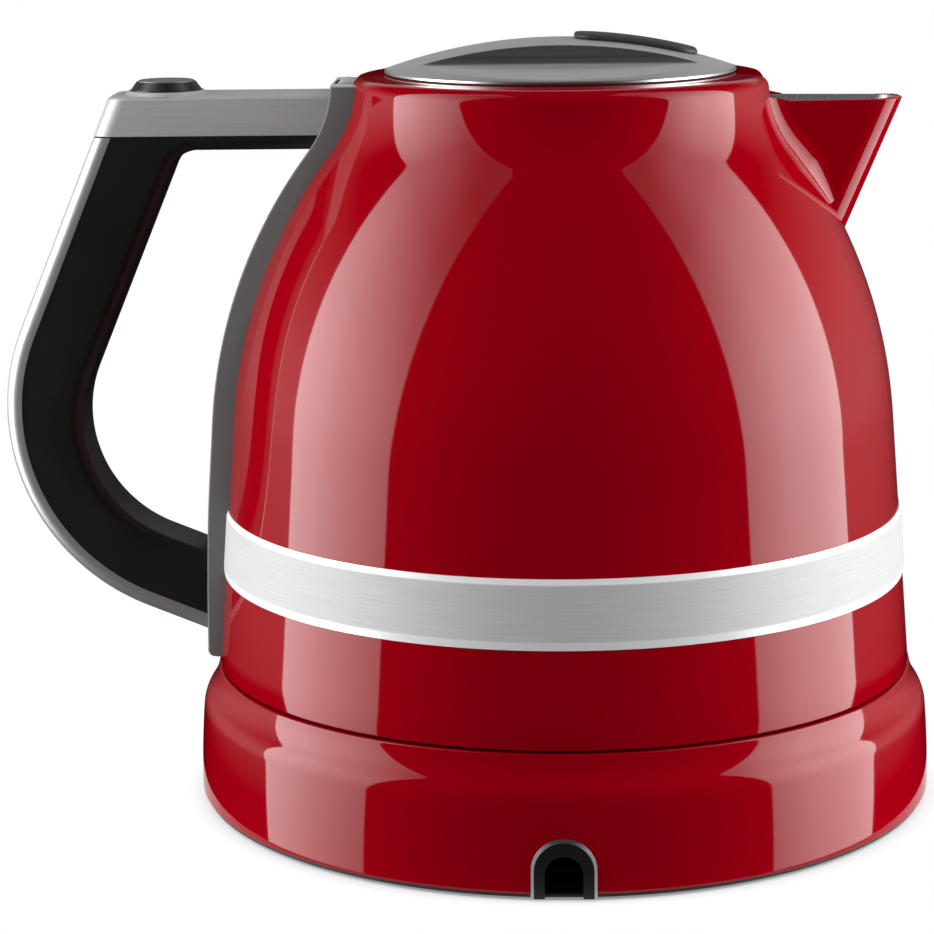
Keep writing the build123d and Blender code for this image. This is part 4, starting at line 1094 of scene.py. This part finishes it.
class KETTLE_OT_lid(bpy.types.Operator):
    """Dresses the lid in brushed steel with a bright edge and painted shade on the walls of its scoops, and its
    plug and seal.
    """

    bl_idname = "kettle.lid"
    bl_label = "Lid"

    def execute(self, context):
        edge_z, wall_z, (wall_near, wall_far) = 211.1, 213.1, (16.9, 19.2)
        p = new_paint("lid_steel")
        place = p.object_place()
        _, y, z = p.parts_of(place)
        lines = brush_lines(p, place, along("x"))
        cloud = p.noise(place, 45.0)
        edge = ((edge_z * MM - z) / (0.2 * MM)).clamp()
        # Painted shade: the scoops' walls, between wall_near and wall_far off the middle and above wall_z, are
        # coloured half as light as the steel.
        aside = y.math("ABSOLUTE", y)
        wall = ((aside - wall_near * MM) / (0.05 * MM)).clamp() * ((wall_far * MM - aside) / (1.4 * MM)).clamp()
        wall = wall * ((z - wall_z * MM) / (0.3 * MM)).clamp()
        level = colours().steel
        brush = brush_colour(p, lines, level, 0.9, 1.1)
        material = principled(
            p,
            # The wall mask mixes in the painted shade on the scoops' walls, then the edge's grey.
            colour=p.mix(edge, p.mix(wall, brush, grey(level * 0.5)), grey(0.6)),
            metal=0.92 + 0.06 * edge,
            rough=(1 - edge) * (0.44 - 0.2 * wall + 0.14 * lines + 0.04 * cloud) + edge * 0.3,
            normal=p.bump(lines * (1 - edge), 0.10, 0.00005),
        )
        dress(material, "lid_cap")
        dress(moulded("pad_grey", 0.03, rough=0.5), "lid_press_pad")
        dress(moulded("plug_grey", 0.06, rough=0.42), "lid_liner")
        dress(moulded("seal_rubber", 0.02, rough=0.6), "lid_seal")
        return {"FINISHED"}


class KETTLE_OT_base_fittings(bpy.types.Operator):
    """Dresses the base's notch, slider, button, underside and connector, and adds the notch's floor."""

    bl_idname = "kettle.base_fittings"
    bl_label = "Base fittings"

    def execute(self, context):
        arch_z, shade_z = 8.45, 14.2
        p = new_paint("notch_frame")
        place = p.object_place()
        x, _, z = p.parts_of(place)
        grain = p.noise(place, 900.0)
        above = z.math("MAXIMUM", z - arch_z * MM, 0.0)
        out = z.math("SQRT", x * x + above * above)
        line = ((out - (NOTCH_HALF - sizes().trim_width) * MM) / (0.1 * MM)).clamp()
        # Painted shade: the trim line fades from silver to near black above shade_z, towards the top of the arch.
        shade = ((z - shade_z * MM) / (2.5 * MM)).clamp()
        black = p.mix(grain, grey(0.003), grey(0.005))
        silver_and_shade = p.mix(shade, grey(0.45), grey(0.07))
        material = principled(
            p,
            colour=p.mix(line, black, silver_and_shade),
            metal=0.2 * line,
            rough=0.48 - 0.18 * line + 0.06 * grain,
            normal=p.bump(grain * (1 - line), 0.1, 0.00005),
        )
        dress(material, "cord_bezel")
        dress(moulded("notch_black", 0.004, rough=0.48, grain=900.0), "cord_clamp")
        dress(moulded("cover_black", 0.014, rough=0.5), "base_cover", "base_deck", "kettle_bottom")
        dress(moulded("foot_rubber", 0.02, rough=0.75, grain=700.0), "feet")
        dress(polished("knob_chrome", grey(0.82), rough=0.06), "slider_knob")
        dress(moulded("track_grey", 0.03), "slider_track", "slider_carriage", "power_switch")
        dress(moulded("power_black", 0.02, rough=0.35), "power_button")
        dress(moulded("plug_black", 0.02, rough=0.38), "coupler_plug", "coupler_socket")
        dress(polished("brass_finish", (0.72, 0.52, 0.22, 1.0), rough=0.16), "coupler_contacts")
        dress(bpy.data.materials["screw_steel"], "base_screws", "swivel_ring")
        dress(moulded("board_green", 0.16, rough=0.35, tint=(0.25, 1.0, 0.45)), "control_board")
        half, low, high, half_depth, middle = NOTCH_HALF - 0.05, 0.9, 1.9, 8.0, -98.5
        bm = Line(-half, low).to(half, low).to(half, high).to(-half, high).close()
        pulled(bm, half_depth, middle)
        rounded(bm, filter(is_corner, bm.edges), 0.25, 2)
        floor = as_object("notch_floor", bm)
        fitted(floor, moulded("notch_floor_black", 0.006, rough=0.6), "base", "soft_black")
        return {"FINISHED"}


class KETTLE_OT_inside(bpy.types.Operator):
    """Dresses the vessel, spout lining, filter and heater."""

    bl_idname = "kettle.inside"
    bl_label = "Inside"

    def execute(self, context):
        dress(brushed("vessel_finish", 0.5, round_z, rough=0.30), "inner_vessel", "vessel_dome")
        dress(brushed("floor_steel", 0.5, along("x"), rough=0.26), "vessel_floor", "heater_plate")
        dress(brushed("lining_steel", 0.45, along("z"), rough=0.24), "spout_liner", "filter_mesh")
        dress(moulded("filter_grey", 0.06), "filter_frame", "temperature_sensor")
        dress(polished("element_steel", grey(0.4), rough=0.25), "heating_element")
        return {"FINISHED"}


class KETTLE_OT_stage(bpy.types.Operator):
    """Sets the pale floor, the white surround, the two softboxes and the camera."""

    bl_idname = "kettle.stage"
    bl_label = "Stage"

    def execute(self, context):
        scene, settings = context.scene, context.scene.kettle_stage
        scene.view_settings.view_transform = "Standard"
        self.make_surround(scene, settings.ambient)
        self.make_floor(settings.floor_radius)
        dim, full = (0.0, grey(0.40)), (0.75, grey(1.0))
        self.make_softbox("left_softbox", -0.75, -0.54, 0.20, 0.11, settings.left_level, dim, full)
        even = (0.45, grey(0.74)), (0.75, grey(0.76))
        self.make_softbox("right_softbox", 0.75, -0.46, 0.14, 0.19, settings.right_level, dim, *even)
        self.make_camera(scene)
        return {"FINISHED"}

    def make_surround(self, scene, ambient):
        """A white surround for the camera, a lit wall behind for reflections and soft light from all round."""
        scene.world = bpy.data.worlds.new("studio")
        p = Paint(scene.world)
        rays = p.node("ShaderNodeLightPath").socket.node.outputs
        names = ("Is Camera Ray", "Is Glossy Ray", "Is Transmission Ray")
        camera, glossy, through = (Sock(p, rays[name]) for name in names)
        _, y, z = p.parts_of(p.node("ShaderNodeTexCoord", output="Generated"))
        level_with = (1 - ((z - 0.1) / 0.4).clamp()) * ((z + 0.27) / 0.2).clamp()
        overhead = ((z - 0.25) / 0.1).clamp() * (1 - ((z - 0.6) / 0.2).clamp()) * ((y - 0.7) / 0.2).clamp()
        behind = ((y - 0.05) * 6.0).clamp() * 1.35 * (1 - y) * level_with + 0.65 * overhead
        seen = (camera + glossy + through).clamp()
        soft_level = ambient * (0.7 + 0.5 * z)
        white_level = camera + (1 - camera) * behind
        soft = p.node("ShaderNodeBackground", {}, {"Color": grey(1.0), "Strength": soft_level})
        white = p.node("ShaderNodeBackground", {}, {"Color": grey(1.0), "Strength": white_level})
        p.surface(p.node("ShaderNodeMixShader", {}, [seen, soft, white]), "ShaderNodeOutputWorld")

    def make_floor(self, radius):
        """A pale disc that holds the kettle's shadow and fades into the white at its rim."""
        fade_from, fade_over = 0.106, 0.006
        bm = bmesh.new()
        bmesh.ops.create_circle(bm, cap_ends=True, radius=radius, segments=96)
        floor = as_object("floor", bm)
        p = new_paint("pale_floor")
        camera = p.node("ShaderNodeLightPath", output="Is Camera Ray")
        x, y, _ = p.parts_of(p.object_place())
        away = x.math("SQRT", x * x + y * y)
        fade = ((away - fade_from) / fade_over).clamp() ** 0.5
        lift = camera * (0.25 + 0.75 * fade)
        dull = p.node("ShaderNodeBsdfDiffuse", {}, {"Color": grey(0.82)})
        glow = p.node("ShaderNodeEmission", {}, {"Color": grey(1.0), "Strength": 1.0})
        p.surface(p.node("ShaderNodeMixShader", {}, [lift, dull, glow]))
        floor.data.materials.append(p.owner)

    def make_softbox(self, name, x, near, lean, far, level, *widthways):
        """A tall lit panel, brightest low down and towards its far edge. Its near edge leans forwards."""
        low, high, lean_from = -0.35, 2.6, 0.3
        bm = bmesh.new()
        sides = Matrix(((0.0, 0.0, 1.0), (far - near, 0.0, 0.0), (0.0, high - low, 0.0))).to_4x4()
        middle = Matrix.Translation((x, (near + far) / 2, (low + high) / 2))
        bmesh.ops.create_grid(bm, x_segments=1, y_segments=3, size=0.5, matrix=middle @ sides)
        for vert in bm.verts:
            if vert.co.y < 0:
                vert.co.y -= lean * (vert.co.z - lean_from)
        panel = as_object(name, bm)
        p = new_paint(name)
        _, y, z = p.parts_of(p.object_place())
        across = p.ramp((y - near) / (far - near), *widthways)
        upwards = p.ramp(
            (z - low) / (high - low),
            (0.0, grey(0.45)),
            (0.17, grey(1.0)),
            (0.22, grey(1.0)),
            (0.42, grey(0.36)),
            (0.60, grey(0.16)),
        )
        colour = p.mix(across * upwards, grey(0.0), grey(1.0))
        p.surface(p.node("ShaderNodeEmission", {}, {"Color": colour, "Strength": level}))
        panel.data.materials.append(p.owner)
        panel.visible_camera = False

    def make_camera(self, scene):
        """The camera at the viewing angle, turned by its pitch, yaw and roll in radians."""
        pitch, yaw, roll = 0.213, 0.032755, -0.012
        place = (0.0, -0.85046, 0.2786)
        ahead = Vector((-sin(yaw) * cos(pitch), cos(yaw) * cos(pitch), -sin(pitch)))
        right = Vector((cos(yaw), sin(yaw), 0.0))
        up = right.cross(ahead)
        turned_right = cos(roll) * right + sin(roll) * up
        turned_up = cos(roll) * up - sin(roll) * right
        view = bpy.data.cameras.new("camera")
        view.sensor_width, view.lens = 36.0, 114.384
        camera = bpy.data.objects.new("camera", view)
        scene.collection.objects.link(camera)
        columns = Matrix((turned_right, turned_up, -ahead)).transposed().to_4x4()
        camera.matrix_world = Matrix.Translation(place) @ columns
        scene.camera = camera


class KETTLE_PT_panel(bpy.types.Panel):
    """Lists the kettle's settings and the steps that build it."""

    bl_idname = "KETTLE_PT_panel"
    bl_label = "Electric kettle"
    bl_space_type = "VIEW_3D"
    bl_region_type = "UI"
    bl_category = "Kettle"

    def draw(self, context):
        scene = context.scene
        for group in (scene.kettle_sizes, scene.kettle_colours, scene.kettle_stage):
            box = self.layout.box()
            for name in type(group).__annotations__:
                box.prop(group, name)
        for step in STEPS:
            self.layout.operator(step.bl_idname)


GROUPS = {"kettle_sizes": KettleSizes, "kettle_colours": KettleColours, "kettle_stage": KettleStage}
STEPS = (
    KETTLE_OT_body,
    KETTLE_OT_base,
    KETTLE_OT_band,
    KETTLE_OT_handle,
    KETTLE_OT_lid,
    KETTLE_OT_base_fittings,
    KETTLE_OT_inside,
    KETTLE_OT_stage,
)


def register():
    for name, group in GROUPS.items():
        bpy.utils.register_class(group)
        setattr(bpy.types.Scene, name, PointerProperty(type=group))
    for step in STEPS:
        bpy.utils.register_class(step)
    bpy.utils.register_class(KETTLE_PT_panel)


def unregister():
    bpy.utils.unregister_class(KETTLE_PT_panel)
    for step in reversed(STEPS):
        bpy.utils.unregister_class(step)
    for name, group in GROUPS.items():
        delattr(bpy.types.Scene, name)
        bpy.utils.unregister_class(group)


def main():
    register()
    bpy.ops.kettle.body()
    bpy.ops.kettle.base()
    bpy.ops.kettle.band()
    bpy.ops.kettle.handle()
    bpy.ops.kettle.lid()
    bpy.ops.kettle.base_fittings()
    bpy.ops.kettle.inside()
    bpy.ops.kettle.stage()


if __name__ == "__main__":
    main()
